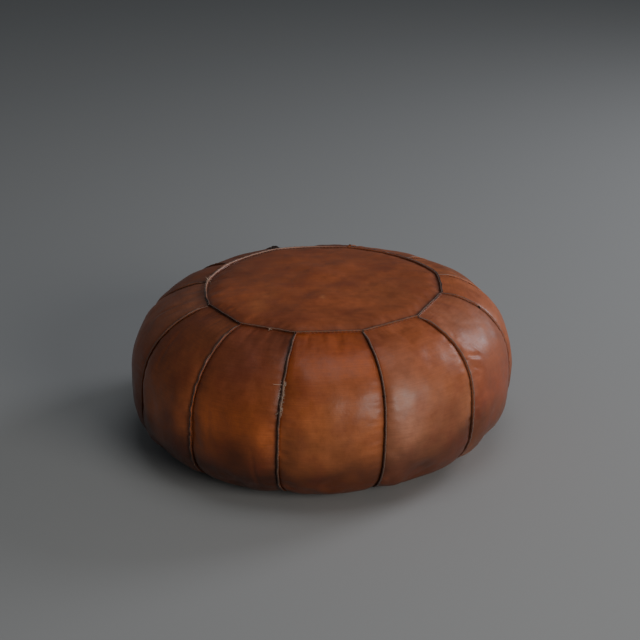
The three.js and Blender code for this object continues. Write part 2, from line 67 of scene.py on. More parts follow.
def waves(points, size, seed, count=16):
    # a soft random field, mostly between -1 and 1, with bumps about size apart
    pick = np.random.default_rng(seed)
    directions = pick.normal(size=(count, points.shape[-1]))
    directions /= np.linalg.norm(directions, axis=1, keepdims=True)
    directions *= 2 * math.pi / size * pick.uniform(0.6, 1.4, (count, 1))
    phases = pick.uniform(0, 2 * math.pi, count)
    return np.sin(points @ directions.T + phases).sum(-1) * math.sqrt(2 / count) * 0.6


def blurred(field, times):
    for _ in range(times):
        for axis in (0, 1):
            wide = np.pad(field, [(1, 1) if k == axis else (0, 0) for k in (0, 1)], mode="edge")
            before = np.take(wide, range(field.shape[axis]), axis)
            after = np.take(wide, range(2, field.shape[axis] + 2), axis)
            field = (before + 2 * field + after) / 4
    return field


def meshObject(name, points, faces, materials, faceMaterials=None, attributes=None, tidyNormals=True):
    mesh = bpy.data.meshes.new(name)
    mesh.from_pydata(np.asarray(points, float).tolist(), [], [list(map(int, face)) for face in faces])
    for material in materials:
        mesh.materials.append(material)
    if faceMaterials is not None:
        mesh.polygons.foreach_set("material_index", np.asarray(faceMaterials, np.int32))
    mesh.polygons.foreach_set("use_smooth", np.ones(len(mesh.polygons), bool))
    for label, values in (attributes or {}).items():
        values = np.asarray(values, np.float32)
        kind, field = {3: ("FLOAT_VECTOR", "vector"), 4: ("FLOAT_COLOR", "color")}[values.shape[1]]
        mesh.attributes.new(label, kind, "POINT").data.foreach_set(field, values.ravel())
    if tidyNormals:
        shape = bmesh.new()
        shape.from_mesh(mesh)
        bmesh.ops.recalc_face_normals(shape, faces=shape.faces)
        shape.to_mesh(mesh)
        shape.free()
    obj = bpy.data.objects.new(name, mesh)
    scene.collection.objects.link(obj)
    return obj


def handIn(obj, nodes, body="cover"):
    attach(obj, body)
    if nodes:
        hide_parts(*nodes)
    return obj


def gridFaces(rows, columns):
    first = (np.arange(rows - 1)[:, None] * columns + np.arange(columns - 1)).ravel()
    return np.stack([first, first + columns, first + columns + 1, first + 1], 1)


def loopFaces(loop, nextLoop):
    return np.stack([loop, nextLoop, np.roll(nextLoop, -1), np.roll(loop, -1)], 1)


def gridBorder(rows, columns):
    # the points round the border of a grid, in order
    lastRow = (rows - 1) * columns
    return np.concatenate([
        np.arange(rows - 1) * columns,
        lastRow + np.arange(columns - 1),
        (np.arange(rows - 1, 0, -1) + 1) * columns - 1,
        np.arange(columns - 1, 0, -1)])


class Strands:
    # thin round threads, all gathered in one mesh
    def __init__(self):
        self.points, self.faces, self.total = [], [], 0

    def add(self, path, radius, sides=6, taper=0.35):
        path = np.asarray(path, float)
        along = np.gradient(path, axis=0)
        along /= np.linalg.norm(along, axis=1, keepdims=True) + 1e-12
        guide = np.array([0.31, 0.17, 0.94])
        across = np.cross(along, guide)
        across /= np.linalg.norm(across, axis=1, keepdims=True)
        other = np.cross(along, across)
        size = np.full(len(path), radius)
        size[[0, -1]] *= taper
        turns = np.arange(sides) * 2 * math.pi / sides
        ring = across[:, None] * np.cos(turns)[:, None] + other[:, None] * np.sin(turns)[:, None]
        self.points.append((path[:, None] + ring * size[:, None, None]).reshape(-1, 3))
        loops = self.total + np.arange(len(path) * sides).reshape(len(path), sides)
        for loop, nextLoop in zip(loops, loops[1:]):
            self.faces.extend(loopFaces(loop, nextLoop).tolist())
        self.faces.append(loops[0].tolist())
        self.faces.append(loops[-1][::-1].tolist())
        self.total += len(path) * sides

    def build(self, name, material):
        return meshObject(name, np.concatenate(self.points), self.faces, [material])


def addNode(tree, kind, inputs=None, **settings):
    node = tree.nodes.new(kind)
    for name, value in settings.items():
        setattr(node, name, value)
    for socket, value in (inputs or {}).items():
        if isinstance(value, bpy.types.Node):
            value = value.outputs[0]
        if isinstance(value, bpy.types.NodeSocket):
            tree.links.new(value, node.inputs[socket])
        else:
            node.inputs[socket].default_value = value
    return node


def newMaterial(name):
    material = bpy.data.materials.new(name)
    material.use_nodes = True
    tree = material.node_tree
    tree.nodes.clear()
    shader = addNode(tree, "ShaderNodeBsdfPrincipled")
    addNode(tree, "ShaderNodeOutputMaterial", {"Surface": shader})
    return material, tree, shader


def perMetre(sizeInMm):
    return 1000 / sizeInMm  # a noise's scale for features of that size


leatherFinish = {
    "roughness": (0.38, 0.56),
    "coat": 0.14,
    "coatRoughness": 0.24,
    "cloud": 85,  # mm between the large clouds of colour that vegetable tanning leaves
    "blotch": 19,
    "streak": (46, 2.6),  # brushed-on dye lies in streaks round the pouf: length and width in mm
    "grain": 2.2,  # hair follicles are 0.3 mm apart; drawn coarser so that they show
    "ripple": 13,
    "redder": "#7b2f1c",
    # painted shade for the seams' crevices and the lower sides, with some wax and dust
    "grimeAndShade": "#26140b",
    # pale rubbed leather, which also serves as a painted highlight on the lit fin tips and the top seam
    "paleRubAndHighlight": "#c99c84",
}


def vegetableTannedLeather():
    # cowhide, bark tanned, dyed with a brush and waxed: cloudy tan to red-brown with a soft sheen, dark in
    # the seams and low down, which is painted shade with some wax and dust, and pale where the fins are
    # rubbed, which is partly a painted highlight on their lit sides
    finish = leatherFinish
    material, tree, shader = newMaterial("vegetable_tanned_leather")
    place = addNode(tree, "ShaderNodeTexCoord").outputs["Object"]
    lay = addNode(tree, "ShaderNodeAttribute", attribute_name="lay").outputs["Vector"]
    dyeShadeAndHighlight = addNode(tree, "ShaderNodeAttribute", attribute_name="dyeShadeAndHighlight").outputs["Color"]
    wearShadeAndHighlight = addNode(tree, "ShaderNodeSeparateXYZ", {
        0: addNode(tree, "ShaderNodeAttribute", attribute_name="wearShadeAndHighlight").outputs["Vector"]})
    cloud = addNode(tree, "ShaderNodeTexNoise", {
        "Vector": place, "Scale": perMetre(finish["cloud"]), "Detail": 3.0, "Roughness": 0.55})
    blotch = addNode(tree, "ShaderNodeTexNoise", {
        "Vector": place, "Scale": perMetre(finish["blotch"]), "Detail": 5.0, "Roughness": 0.62})
    long, thin = finish["streak"]
    brushed = addNode(tree, "ShaderNodeVectorMath", {
        0: lay, 1: (perMetre(long), perMetre(thin), 1.0)}, operation="MULTIPLY")
    streak = addNode(tree, "ShaderNodeTexNoise", {
        "Vector": brushed, "Scale": 1.0, "Detail": 4.0, "Roughness": 0.6})
    tones = []
    for source, depth in ((cloud, 0.40), (blotch, 0.26), (streak, 0.20)):
        tones.append(addNode(tree, "ShaderNodeMapRange", {
            "Value": source, "From Min": 0.3, "From Max": 0.7,
            "To Min": 1 - depth / 2, "To Max": 1 + depth / 2}))
    both = addNode(tree, "ShaderNodeMath", {0: tones[0], 1: tones[1]}, operation="MULTIPLY")
    tone = addNode(tree, "ShaderNodeMath", {0: both, 1: tones[2]}, operation="MULTIPLY")
    dyed = addNode(tree, "ShaderNodeVectorMath", {0: dyeShadeAndHighlight, "Scale": tone}, operation="SCALE")
    reddish = addNode(tree, "ShaderNodeTexNoise", {
        "Vector": place, "Scale": perMetre(finish["cloud"] * 0.6), "Detail": 4.0, "Roughness": 0.65})
    reddish = addNode(tree, "ShaderNodeMapRange", {
        "Value": reddish, "From Min": 0.48, "From Max": 0.72, "To Min": 0.0, "To Max": 0.34})
    warmed = addNode(tree, "ShaderNodeMix", {
        0: reddish, 6: dyed, 7: linear(finish["redder"])}, data_type="RGBA").outputs[2]
    grimeShaded = addNode(tree, "ShaderNodeMix", {
        0: wearShadeAndHighlight.outputs[0], 6: warmed, 7: linear(finish["grimeAndShade"])}, data_type="RGBA").outputs[2]
    rubbedAndLit = addNode(tree, "ShaderNodeMath", {0: wearShadeAndHighlight.outputs[1], 1: tones[1]}, operation="MULTIPLY")
    paleRubAndHighlight = addNode(tree, "ShaderNodeMix", {
        0: rubbedAndLit, 6: grimeShaded, 7: linear(finish["paleRubAndHighlight"])}, data_type="RGBA").outputs[2]
    pores = addNode(tree, "ShaderNodeTexVoronoi", {
        "Vector": place, "Scale": perMetre(finish["grain"]), "Randomness": 1.0}, feature="F1")
    ripple = addNode(tree, "ShaderNodeTexNoise", {
        "Vector": place, "Scale": perMetre(finish["ripple"]), "Detail": 5.0, "Roughness": 0.6})
    smoothest, roughest = finish["roughness"]
    roughness = addNode(tree, "ShaderNodeMapRange", {
        "Value": blotch, "From Min": 0.32, "From Max": 0.68, "To Min": smoothest, "To Max": roughest})
    relief = addNode(tree, "ShaderNodeBump", {"Height": ripple, "Strength": 0.55, "Distance": 1.1 * mm})
    grain = addNode(tree, "ShaderNodeBump", {
        "Height": pores, "Normal": relief, "Strength": 0.3, "Distance": 0.25 * mm}, invert=True)
    combed = addNode(tree, "ShaderNodeBump", {
        "Height": streak, "Normal": grain, "Strength": 0.25, "Distance": 0.3 * mm})
    tree.links.new(paleRubAndHighlight, shader.inputs["Base Color"])
    tree.links.new(roughness.outputs[0], shader.inputs["Roughness"])
    tree.links.new(combed.outputs[0], shader.inputs["Normal"])
    shader.inputs["IOR"].default_value = 1.48
    shader.inputs["Coat Weight"].default_value = finish["coat"]
    shader.inputs["Coat Roughness"].default_value = finish["coatRoughness"]
    return material


def cutLeatherEdge():
    # knife-cut edge, never finished: dark with old wax and dust and made darker still as painted shade along
    # the seam lines, with pale fibres where it is rubbed, partly a painted highlight on the side facing the
    # light
    material, tree, shader = newMaterial("cut_leather_edge")
    place = addNode(tree, "ShaderNodeTexCoord").outputs["Object"]
    wearShadeAndHighlight = addNode(tree, "ShaderNodeSeparateXYZ", {
        0: addNode(tree, "ShaderNodeAttribute", attribute_name="wearShadeAndHighlight").outputs["Vector"]})
    fibres = addNode(tree, "ShaderNodeTexNoise", {
        "Vector": place, "Scale": perMetre(2.4), "Detail": 5.0, "Roughness": 0.65})
    patchy = addNode(tree, "ShaderNodeMapRange", {
        "Value": fibres, "From Min": 0.3, "From Max": 0.6, "To Min": 0.35, "To Max": 1.0})
    rubbedAndLit = addNode(tree, "ShaderNodeMath", {0: wearShadeAndHighlight.outputs[1], 1: patchy}, operation="MULTIPLY")
    colour = addNode(tree, "ShaderNodeMix", {
        0: rubbedAndLit, 6: linear("#341a0e"), 7: linear("#d0a68e")}, data_type="RGBA").outputs[2]
    height = addNode(tree, "ShaderNodeBump", {"Height": fibres, "Strength": 0.6, "Distance": 0.35 * mm})
    tree.links.new(colour, shader.inputs["Base Color"])
    tree.links.new(height.outputs[0], shader.inputs["Normal"])
    shader.inputs["Roughness"].default_value = 0.8
    shader.inputs["Sheen Weight"].default_value = 0.15
    return material


def speckled(name, light, dark, size, roughness, bump, sheen=0.0, metallic=0.0, detail=5.0):
    # one surface in two tones of a fine noise, raised by that noise
    material, tree, shader = newMaterial(name)
    place = addNode(tree, "ShaderNodeTexCoord").outputs["Object"]
    noise = addNode(tree, "ShaderNodeTexNoise", {
        "Vector": place, "Scale": perMetre(size), "Detail": detail, "Roughness": 0.6})
    share = addNode(tree, "ShaderNodeMapRange", {"Value": noise, "From Min": 0.3, "From Max": 0.7})
    colour = addNode(tree, "ShaderNodeMix", {0: share, 6: linear(dark), 7: linear(light)}, data_type="RGBA")
    rough = addNode(tree, "ShaderNodeMapRange", {
        "Value": noise, "From Min": 0.3, "From Max": 0.7, "To Min": roughness[1], "To Max": roughness[0]})
    height = addNode(tree, "ShaderNodeBump", {"Height": noise, "Strength": 0.6, "Distance": bump * mm})
    tree.links.new(colour.outputs[2], shader.inputs["Base Color"])
    tree.links.new(rough.outputs[0], shader.inputs["Roughness"])
    tree.links.new(height.outputs[0], shader.inputs["Normal"])
    shader.inputs["Metallic"].default_value = metallic
    shader.inputs["Sheen Weight"].default_value = sheen
    return material


def plainWoven(name, light, dark, spacing, roughness, shadow, slant=0.0):
    # plain-woven cotton: two sets of ribs, each hiding the other at every second crossing
    material, tree, shader = newMaterial(name)
    place = addNode(tree, "ShaderNodeTexCoord").outputs["Object"]
    turned = addNode(tree, "ShaderNodeMapping", {"Vector": place, "Rotation": (0.0, 0.0, slant)})
    ribs = [addNode(tree, "ShaderNodeTexWave", {
        "Vector": turned, "Scale": perMetre(spacing * 2 * math.pi) * 2, "Distortion": 0.6, "Detail": 1.0,
        "Detail Scale": 2.0}, wave_type="BANDS", bands_direction=direction) for direction in ("X", "Y")]
    weave = addNode(tree, "ShaderNodeMath", {
        0: ribs[0].outputs["Fac"], 1: ribs[1].outputs["Fac"]}, operation="MULTIPLY")
    slubs = addNode(tree, "ShaderNodeTexNoise", {"Vector": place, "Scale": perMetre(9), "Detail": 4.0})
    tone = addNode(tree, "ShaderNodeMix", {
        0: slubs, 6: linear(dark), 7: linear(light)}, data_type="RGBA").outputs[2]
    gaps = addNode(tree, "ShaderNodeMapRange", {"Value": weave, "To Min": 1 - shadow, "To Max": 1.0})
    colour = addNode(tree, "ShaderNodeVectorMath", {0: tone, "Scale": gaps}, operation="SCALE")
    height = addNode(tree, "ShaderNodeBump", {"Height": weave, "Strength": 0.7, "Distance": 0.25 * mm})
    tree.links.new(colour.outputs[0], shader.inputs["Base Color"])
    tree.links.new(height.outputs[0], shader.inputs["Normal"])
    shader.inputs["Roughness"].default_value = roughness
    shader.inputs["Sheen Weight"].default_value = 0.3
    return material


leather = vegetableTannedLeather()
rawEdge = cutLeatherEdge()
# the flesh side: matt felted fibres
flesh = speckled("leather_flesh_side", "#a87a58", "#7d5336", 3.5, (0.8, 0.95), 0.4, sheen=0.4)
# two-ply linen thread drawn through beeswax: brown, a little shiny on the crowns of its twist
linenThread = speckled("waxed_linen_thread", "#5e3c26", "#2c190f", 1.1, (0.45, 0.7), 0.3, sheen=0.1)
# the same thread where it has frayed: dry and pale
frayedLinen = speckled("frayed_linen", "#e0cbb4", "#b08f74", 1.3, (0.75, 0.9), 0.2, sheen=0.3)
darkScrap = speckled("dark_leather_scrap", "#3a2115", "#160c07", 2.5, (0.5, 0.75), 0.4)
tanScrap = speckled("tan_leather_scrap", "#b5652f", "#6f371a", 3.0, (0.45, 0.7), 0.4)
# cast brass, tumbled and lacquered thinly: yellow with brown tarnish in soft patches
castBrass = speckled("cast_brass", "#c39a52", "#7d5c2c", 5.0, (0.28, 0.5), 0.08, metallic=1.0, detail=6.0)
# herringbone zip tape, dyed dark brown; its ribs are 0.5 mm apart, drawn at 1.1 mm so that they show
tapeCotton = plainWoven("woven_zip_tape", "#4a3526", "#2c1e15", 1.1, 0.85, 0.45, slant=math.pi / 4)
# unbleached calico: thread spacing 0.5 mm, drawn at 1.6 mm so that it shows
calico = plainWoven("unbleached_calico", "#d9ceb8", "#c3b597", 1.6, 0.95, 0.3)
# carded cotton waste: matt off-white lumps with darker flecks
wadding = speckled("carded_cotton_wadding", "#e9e3d5", "#bfb49d", 7.0, (0.95, 1.0), 2.0, sheen=0.5)
print("materials made:", len(bpy.data.materials))


cover = {
    # in degrees, anticlockwise from the first seam
    "panelWidths": (30, 31, 31, 23, 29, 32, 38, 29, 26, 35, 28, 28),
    "firstSeam": -102,
    # each panel's top edge: 1 is straight, 0 is an arc
    "topStraight": (1, 1, 1, 0.6, 0.15, 0.15, 0.4, 0.2, 0.15, 0.5, 1, 1),
    "twist": (0.6, -0.7),  # the seams lean between the top and the widest line
    "topRadius": 219 * mm,
    "topHeight": 281 * mm,
    "crown": 9 * mm,
    "widestRadius": 350 * mm,
    "widestHeight": 107 * mm,
    "baseRadius": 200 * mm,
    "floorGap": 1.4 * mm,
    # the top is uneven: how far each of its corners lies outwards and up from an even circle, in mm
    "cornerShifts": ((0, -1), (2, -3), (2, -5), (2.5, -4), (4, -2), (1, -4), (0, -2.5), (0, 0),
                     (-3, -2), (-6.5, -4), (-6, 0), (0, -1)),
    "leather": 2 * mm,
    "allowance": 1.35 * mm,  # the leather is pared to this where it is sewn
    "seamGap": 0.15 * mm,
    "sideLength": 290 * mm,  # down a side, for one step of station
    "panelHalf": 85 * mm,  # from the middle of a usual panel to its seam, at the widest line
    "seamTuck": 7 * mm,
    "fin": 5 * mm,  # seam allowance that stands out
    "ringFin": 3.4 * mm,  # the top seam's stands lower, rubbed down by use
    "finStub": 1 * mm,  # its height where seams meet
    "sag": (3.5 * mm, -4.6 * mm),  # the filling has slipped: right and out above, left below
}


def outline(station):
    # radius, height and outward direction: station 0 is the top seam, 1 the widest line, 2 the base seam
    top, wide, base = cover["topRadius"], cover["widestRadius"], cover["baseRadius"]
    high, low = cover["topHeight"], cover["widestHeight"]
    upper = ((top, high), (top + 129 * mm, high - 27 * mm), (wide, low + 56 * mm), (wide, low))
    floor = cover["floorGap"]
    lower = ((wide, low), (wide, low - 95 * mm), (base + 65 * mm, floor), (base, floor))
    station = np.asarray(station, float)
    ends = np.where((station < 1)[..., None, None], np.array(upper), np.array(lower))
    a, b, c, d = (ends[..., k, :] for k in range(4))
    t = np.where(station < 1, station, station - 1)[..., None]
    rest = 1 - t
    place = rest ** 3 * a + 3 * rest ** 2 * t * b + 3 * rest * t ** 2 * c + t ** 3 * d
    along = rest ** 2 * (b - a) + 2 * rest * t * (c - b) + t ** 2 * (d - c)
    along /= np.linalg.norm(along, axis=-1, keepdims=True)
    return place[..., 0], place[..., 1], -along[..., 1], along[..., 0]


def seamAngle(seam, station):
    start, end = cover["twist"]
    degrees = cover["firstSeam"] + sum(cover["panelWidths"][:seam])
    return np.radians(degrees + start + (end - start) * smooth(np.asarray(station, float), 0, 0.9))


seamFace = cover["seamGap"] + cover["allowance"]  # the grain side's distance from a seam's middle
cornerAngles = seamAngle(0, 0.0) + np.radians(np.cumsum((0,) + cover["panelWidths"]))
cornerShifts = np.array(cover["cornerShifts"] + cover["cornerShifts"][:1]) * mm


def cornerShift(angle, station):
    turn = cornerAngles[0] + (angle - cornerAngles[0]) % (2 * math.pi)
    fade = 1 - smooth(station, 0, 0.5)
    return [np.interp(turn, cornerAngles, cornerShifts[:, way]) * fade for way in (0, 1)]


def coverPoint(angle, station, edgeShare, chord, out):
    radius, height, outward, upward = outline(station)
    hold = np.maximum(1 - smooth(station, 0, 0.5), smooth(station, 1.5, 2))
    lift = out - cover["seamTuck"] * (1 - hold) * edgeShare
    shiftOut, shiftUp = cornerShift(angle, station)
    along = radius * (1 - hold * (1 - chord)) + outward * lift + shiftOut
    right, left = cover["sag"]
    slip = right * np.sin(math.pi * np.clip(station / 0.95, 0, 1)) ** 2 * smooth(np.cos(angle), -0.2, 0.7)
    slip = slip + left * np.sin(math.pi * np.clip((station - 0.8) / 1.1, 0, 1)) ** 2
    return np.stack([
        middle.x + slip + along * np.cos(angle), middle.y + along * np.sin(angle),
        height + upward * lift + shiftUp], -1)


def panelPoint(panel, across, station, out=0.0):
    # across runs from -1 at the panel's first seam to 1 at its second
    first = seamAngle(panel, station)
    half = (seamAngle(panel + 1, station) - first) / 2
    straight = cover["topStraight"][panel] + (1 - cover["topStraight"][panel]) * smooth(station, 1.4, 1.6)
    chord = 1 - straight * (1 - np.cos(half) / np.cos(across * half))
    return coverPoint(first + half * (1 + across), station, across ** 4, chord, out)


# how each fin leans and wanders, in mm, seam by seam; the third number is its seed
finCharacter = (
    (0.5, 0.5, 1), (-0.3, 0.4, 2), (0.6, 0.4, 3), (0.9, 0.5, 4), (0.3, 0.5, 5), (-0.6, 0.6, 6),
    (0.8, 0.7, 7), (-0.5, 0.6, 8), (0.6, 0.5, 9), (-1.2, 0.7, 10), (0.9, 0.5, 11), (-0.6, 1.3, 12),
)


# each fin's two layers, clockwise then anticlockwise: how far their tips are rubbed pale, which is partly a
# painted highlight on the side facing the light, and how dark their foot is, which is painted shade with some
# wax and dust
finRubHighlightAndShade = (
    ((0.04, 0.9), (0.42, 0.25)), ((0.04, 1.0), (0.42, 0.2)), ((0.04, 1.0), (0.30, 0.3)),
    ((0.02, 1.0), (0.10, 0.7)), ((0.20, 0.8), (0.80, 0.2)), ((0.20, 0.8), (0.40, 0.3)),
    ((0.10, 0.6), (0.30, 0.6)), ((0.10, 0.6), (0.20, 0.6)), ((0.02, 0.8), (0.08, 0.8)),
    ((0.02, 1.0), (0.05, 1.0)), ((0.20, 0.2), (0.22, 0.6)), ((0.12, 0.1), (0.14, 0.6)),
)


def ringRubAndHighlight(angle):
    # the top seam is palest at the back left and least pale on the right: rubbed there, and partly a painted
    # highlight where its fin faces the light
    turn = np.stack([np.cos(angle), np.sin(angle)], -1)
    left = smooth(turn @ np.array([math.cos(2.4), math.sin(2.4)]), 0.45, 0.9)
    front = smooth(turn @ np.array([math.cos(-1.2), math.sin(-1.2)]), 0.2, 0.9)
    return np.clip(0.06 + 0.85 * left + 0.32 * front, 0, 1)


def seamRun(station):
    # roughly how far down a seam a station lies, in mm
    return np.asarray(station, float)[..., None] * 300


def finLean(seam, station):
    lean, wander, seed = finCharacter[seam % sideCount]
    drift = waves(seamRun(station), 38, seed)
    curl = 3.0 * bell(station - 1.42, 0.09) if seam % sideCount == 0 else 0.0  # the front one's foot is bent
    return (lean + wander * drift + curl) * mm * smooth(station, 0, 0.06)


def finHeight(seam, station, layer):
    risen = cover["finStub"] + (cover["fin"] - cover["finStub"]) * smooth(station, 0, 0.08)
    _, height, _, upward = outline(station)
    room = height / np.maximum(0.05, -upward) - 0.4 * mm
    lowered = np.clip(room, cover["finStub"], cover["fin"])
    ragged = 1 + 0.09 * waves(seamRun(station), 16, 40 + 2 * seam + layer)
    return np.where(station < 1, risen, lowered) * np.where(station < 1.5, ragged, 1)


def seamPoint(seam, station, offset, out):
    # offset runs across the seam, anticlockwise, and out stands away from the cover
    angle = seamAngle(seam, station)
    point = coverPoint(angle, station, 1.0, 1.0, out)
    across = np.stack([-np.sin(angle), np.cos(angle), np.zeros_like(angle)], -1)
    return point + across * np.asarray(offset)[..., None]


def movedOut(points, distance, lift):
    flat = points[..., :2] - np.array(middle[:2])
    flat = flat / np.linalg.norm(flat, axis=-1, keepdims=True) * np.asarray(distance)[..., None]
    return points + np.concatenate([flat, np.broadcast_to(lift, flat.shape[:-1])[..., None]], -1)


def ringLean(angle):
    # the top seam's fin leans outwards, more at the back and the right
    turn = np.stack([np.cos(angle), np.sin(angle)], -1)
    return (1.1 + 0.7 * smooth(turn @ np.array([-0.3, 0.95]), -0.3, 0.8) + 0.6 * waves(turn, 0.16, 21)) * mm


skin = {
    "across": 20,  # squares across a panel
    "down": 44,
    "smaller": 2.5 * mm,  # the skin starts this much slacker than it ends
    "growth": 0.02,  # leather that has stretched in use
    "pressure": 4.0,
    "frames": 20,
    "cap": 6 * mm,
}


def squareRings(cells):
    # a square of cells bent into a disc: each point's ring, from 0 to 1, and its share of the way round
    steps = np.linspace(-1, 1, cells + 1)
    u, v = np.meshgrid(steps, steps, indexing="ij")
    ring = np.maximum(abs(u), abs(v))
    safe = np.where(ring > 0, ring, 1)
    a, b = u / safe, v / safe
    right = (a >= 1 - 1e-9) & (b < 1 - 1e-9)
    back = (b >= 1 - 1e-9) & (a > -1 + 1e-9)
    left = (a <= -1 + 1e-9) & (b > -1 + 1e-9)
    turn = np.select([right, back, left], [(b + 1) / 8, (3 - a) / 8, (5 - b) / 8], (7 + a) / 8)
    return ring, turn % 1


def topEdge(turn):
    # the twelve-sided line of the top seam; turn runs once round it from the first seam
    panelTurn = np.asarray(turn) * sideCount % sideCount
    edge = np.empty(panelTurn.shape + (3,))
    for panel in range(sideCount):
        here = (panelTurn >= panel) & (panelTurn < panel + 1)
        edge[here] = panelPoint(panel, 2 * (panelTurn[here] - panel) - 1, 0.0)
    return edge


def topPoint(ring, turn, lift=0.0):
    edge = topEdge(turn)
    axis = np.array(middle[:2])
    flat = axis + (edge[..., :2] - axis) * ring[..., None]
    crown = cover["topHeight"] + cover["crown"]
    height = crown + (edge[..., 2] - crown) * ring ** 2 + lift
    return np.concatenate([flat, height[..., None]], -1)


def inflate():
    # the whole cover as one skin, held at its seams and blown up from inside like a packed pouf
    across, down = skin["across"], skin["down"]
    columns = sideCount * across
    share = np.linspace(-1, 1, across + 1)[:-1]
    stations = np.linspace(0, 2, down + 1)
    sides = np.concatenate([
        panelPoint(panel, share[:, None], stations[None], -skin["smaller"] * (1 - share[:, None] ** 2)
                   * np.sin(math.pi * stations[None] / 2)) for panel in range(sideCount)])
    cells = columns // 4
    ring, turn = squareRings(cells)
    top = topPoint(ring, turn)
    grid = np.arange(columns * (down + 1)).reshape(columns, down + 1)
    beside = np.roll(grid, -1, 0)
    faces = [quad for near, far in zip(grid, beside) for quad in np.stack([
        near[:-1], near[1:], far[1:], far[:-1]], 1)]
    inside = ring < 1 - 1e-9
    index = np.zeros(ring.shape, int)
    index[inside] = grid.size + np.arange(inside.sum())
    index[~inside] = grid[np.round(turn[~inside] * columns).astype(int) % columns, 0]
    faces += [np.array([index[i, j], index[i + 1, j], index[i + 1, j + 1], index[i, j + 1]])
              for i in range(cells) for j in range(cells)]
    points = np.concatenate([sides.reshape(-1, 3), top[inside]])
    body = meshObject("inflating_skin", points, faces, [], tidyNormals=False)
    held = [int(k) for k in np.unique(np.concatenate([grid[::across].ravel(), grid[:, 0], grid[:, -1]]))]
    body.vertex_groups.new(name="seams").add(held, 1.0, "REPLACE")
    cloth = body.modifiers.new("inflate", "CLOTH").settings
    cloth.quality = 6
    cloth.mass = 0.15
    cloth.tension_stiffness = cloth.compression_stiffness = 30
    cloth.shear_stiffness = 12
    cloth.bending_stiffness = 2.5
    cloth.use_pressure = True
    cloth.uniform_pressure_force = skin["pressure"]
    cloth.shrink_min = -skin["growth"]
    cloth.vertex_group_mass = "seams"
    cloth.effector_weights.gravity = 0
    for number in range(1, skin["frames"] + 1):
        scene.frame_set(number)
    shaped = body.evaluated_get(bpy.context.evaluated_depsgraph_get()).data
    result = np.zeros(len(points) * 3)
    shaped.vertices.foreach_get("co", result)
    result = result.reshape(-1, 3)
    scene.frame_set(1)
    bpy.data.objects.remove(body)
    sideShape = result[:grid.size].reshape(sideCount, across, down + 1, 3)
    bulges = []
    for panel in range(sideCount):
        here = np.concatenate([sideShape[panel], sideShape[(panel + 1) % sideCount][:1]])
        shares = np.linspace(-1, 1, across + 1)[:, None]
        plain = panelPoint(panel, shares, stations[None])
        _, _, outward, upward = outline(stations)
        first = seamAngle(panel, stations[None])
        angle = first + (seamAngle(panel + 1, stations[None]) - first) / 2 * (1 + shares)
        normal = np.stack([outward * np.cos(angle), outward * np.sin(angle), upward + 0 * angle], -1)
        bulges.append(((here - plain) * normal).sum(-1))
    topShape = result[index.ravel()].reshape(index.shape + (3,))
    rise = (topShape - top)[..., 2]
    return np.clip(bulges, -skin["cap"], skin["cap"]), np.clip(rise, -skin["cap"], skin["cap"])


def sampled(field, first, second):
    # a grid of values read at shares from 0 to 1 along its two ways
    rows, columns = np.array(field.shape) - 1
    x, y = np.clip(first, 0, 1) * rows, np.clip(second, 0, 1) * columns
    i, j = np.minimum(x.astype(int), rows - 1), np.minimum(y.astype(int), columns - 1)
    u, v = x - i, y - j
    near = field[i, j] * (1 - v) + field[i, j + 1] * v
    far = field[i + 1, j] * (1 - v) + field[i + 1, j + 1] * v
    return near * (1 - u) + far * u


bulges, topRise = inflate()
print("skin inflated: mean bulge %.1f mm, most %.1f mm, top %.1f mm" % (
    bulges.mean() / mm, abs(bulges).max() / mm, topRise.mean() / mm))


# creases in the sides: panel, start and end as (across, station), depth in mm (a ridge is negative)
# and width in mm
creases = (
    (3, (-0.97, 0.37), (-0.56, 0.43), 2.6, 2.6),
    (3, (-0.97, 0.41), (-0.60, 0.47), -2.0, 3.0),
    (3, (-0.93, 0.46), (-0.66, 0.53), 1.8, 2.4),
    (3, (-0.98, 0.52), (-0.78, 0.57), 1.6, 2.4),
    (3, (-0.98, 0.30), (-0.62, 0.33), 1.5, 2.6),
    (3, (-0.92, 0.24), (-0.74, 0.20), 1.2, 3.0),
    (3, (-0.60, 0.34), (-0.42, 0.46), -1.2, 4.0),
    (3, (-0.94, 0.80), (-0.84, 0.98), 1.1, 2.6),
    (3, (-0.30, 0.20), (0.30, 0.28), 0.8, 7.0),
    (12, (0.48, 0.92), (0.60, 1.34), 1.3, 3.2),
    (12, (-0.55, 0.60), (-0.45, 0.95), 0.6, 5.0),
    (10, (0.10, 0.30), (0.24, 0.08), 2.2, 3.6),
    (10, (0.26, 0.30), (0.40, 0.08), -1.6, 4.0),
    (10, (0.46, 0.28), (0.56, 0.12), 1.6, 3.6),
    (11, (-0.50, 0.20), (-0.30, 0.50), 0.9, 5.0),
    (6, (-0.20, 0.30), (0.15, 0.55), 1.0, 4.0),
    (8, (0.30, 0.25), (0.05, 0.60), 1.0, 4.0),
    (7, (-0.60, 0.15), (-0.35, 0.40), 1.2, 4.0),
)


def creaseRelief(panel, across, station):
    relief = np.zeros(across.shape)
    for number, start, end, depth, width in creases:
        if number != panel + 1:
            continue
        scale = np.array([cover["panelHalf"], cover["sideLength"]])  # one step across and one step down
        place = np.stack([across, station], -1) * scale
        a, b = np.array(start) * scale, np.array(end) * scale
        share = np.clip((place - a) @ (b - a) / ((b - a) @ (b - a)), 0, 1)
        bend = 1.5 * mm * np.sin(share * math.pi * 2)
        away = np.linalg.norm(place - a - share[..., None] * (b - a), axis=-1) + bend * 0.3
        ends = 0.35 + 0.65 * np.sin(math.pi * np.clip(share, 0.05, 0.95))
        relief -= depth * mm * bell(away, width * mm) * ends
    return relief


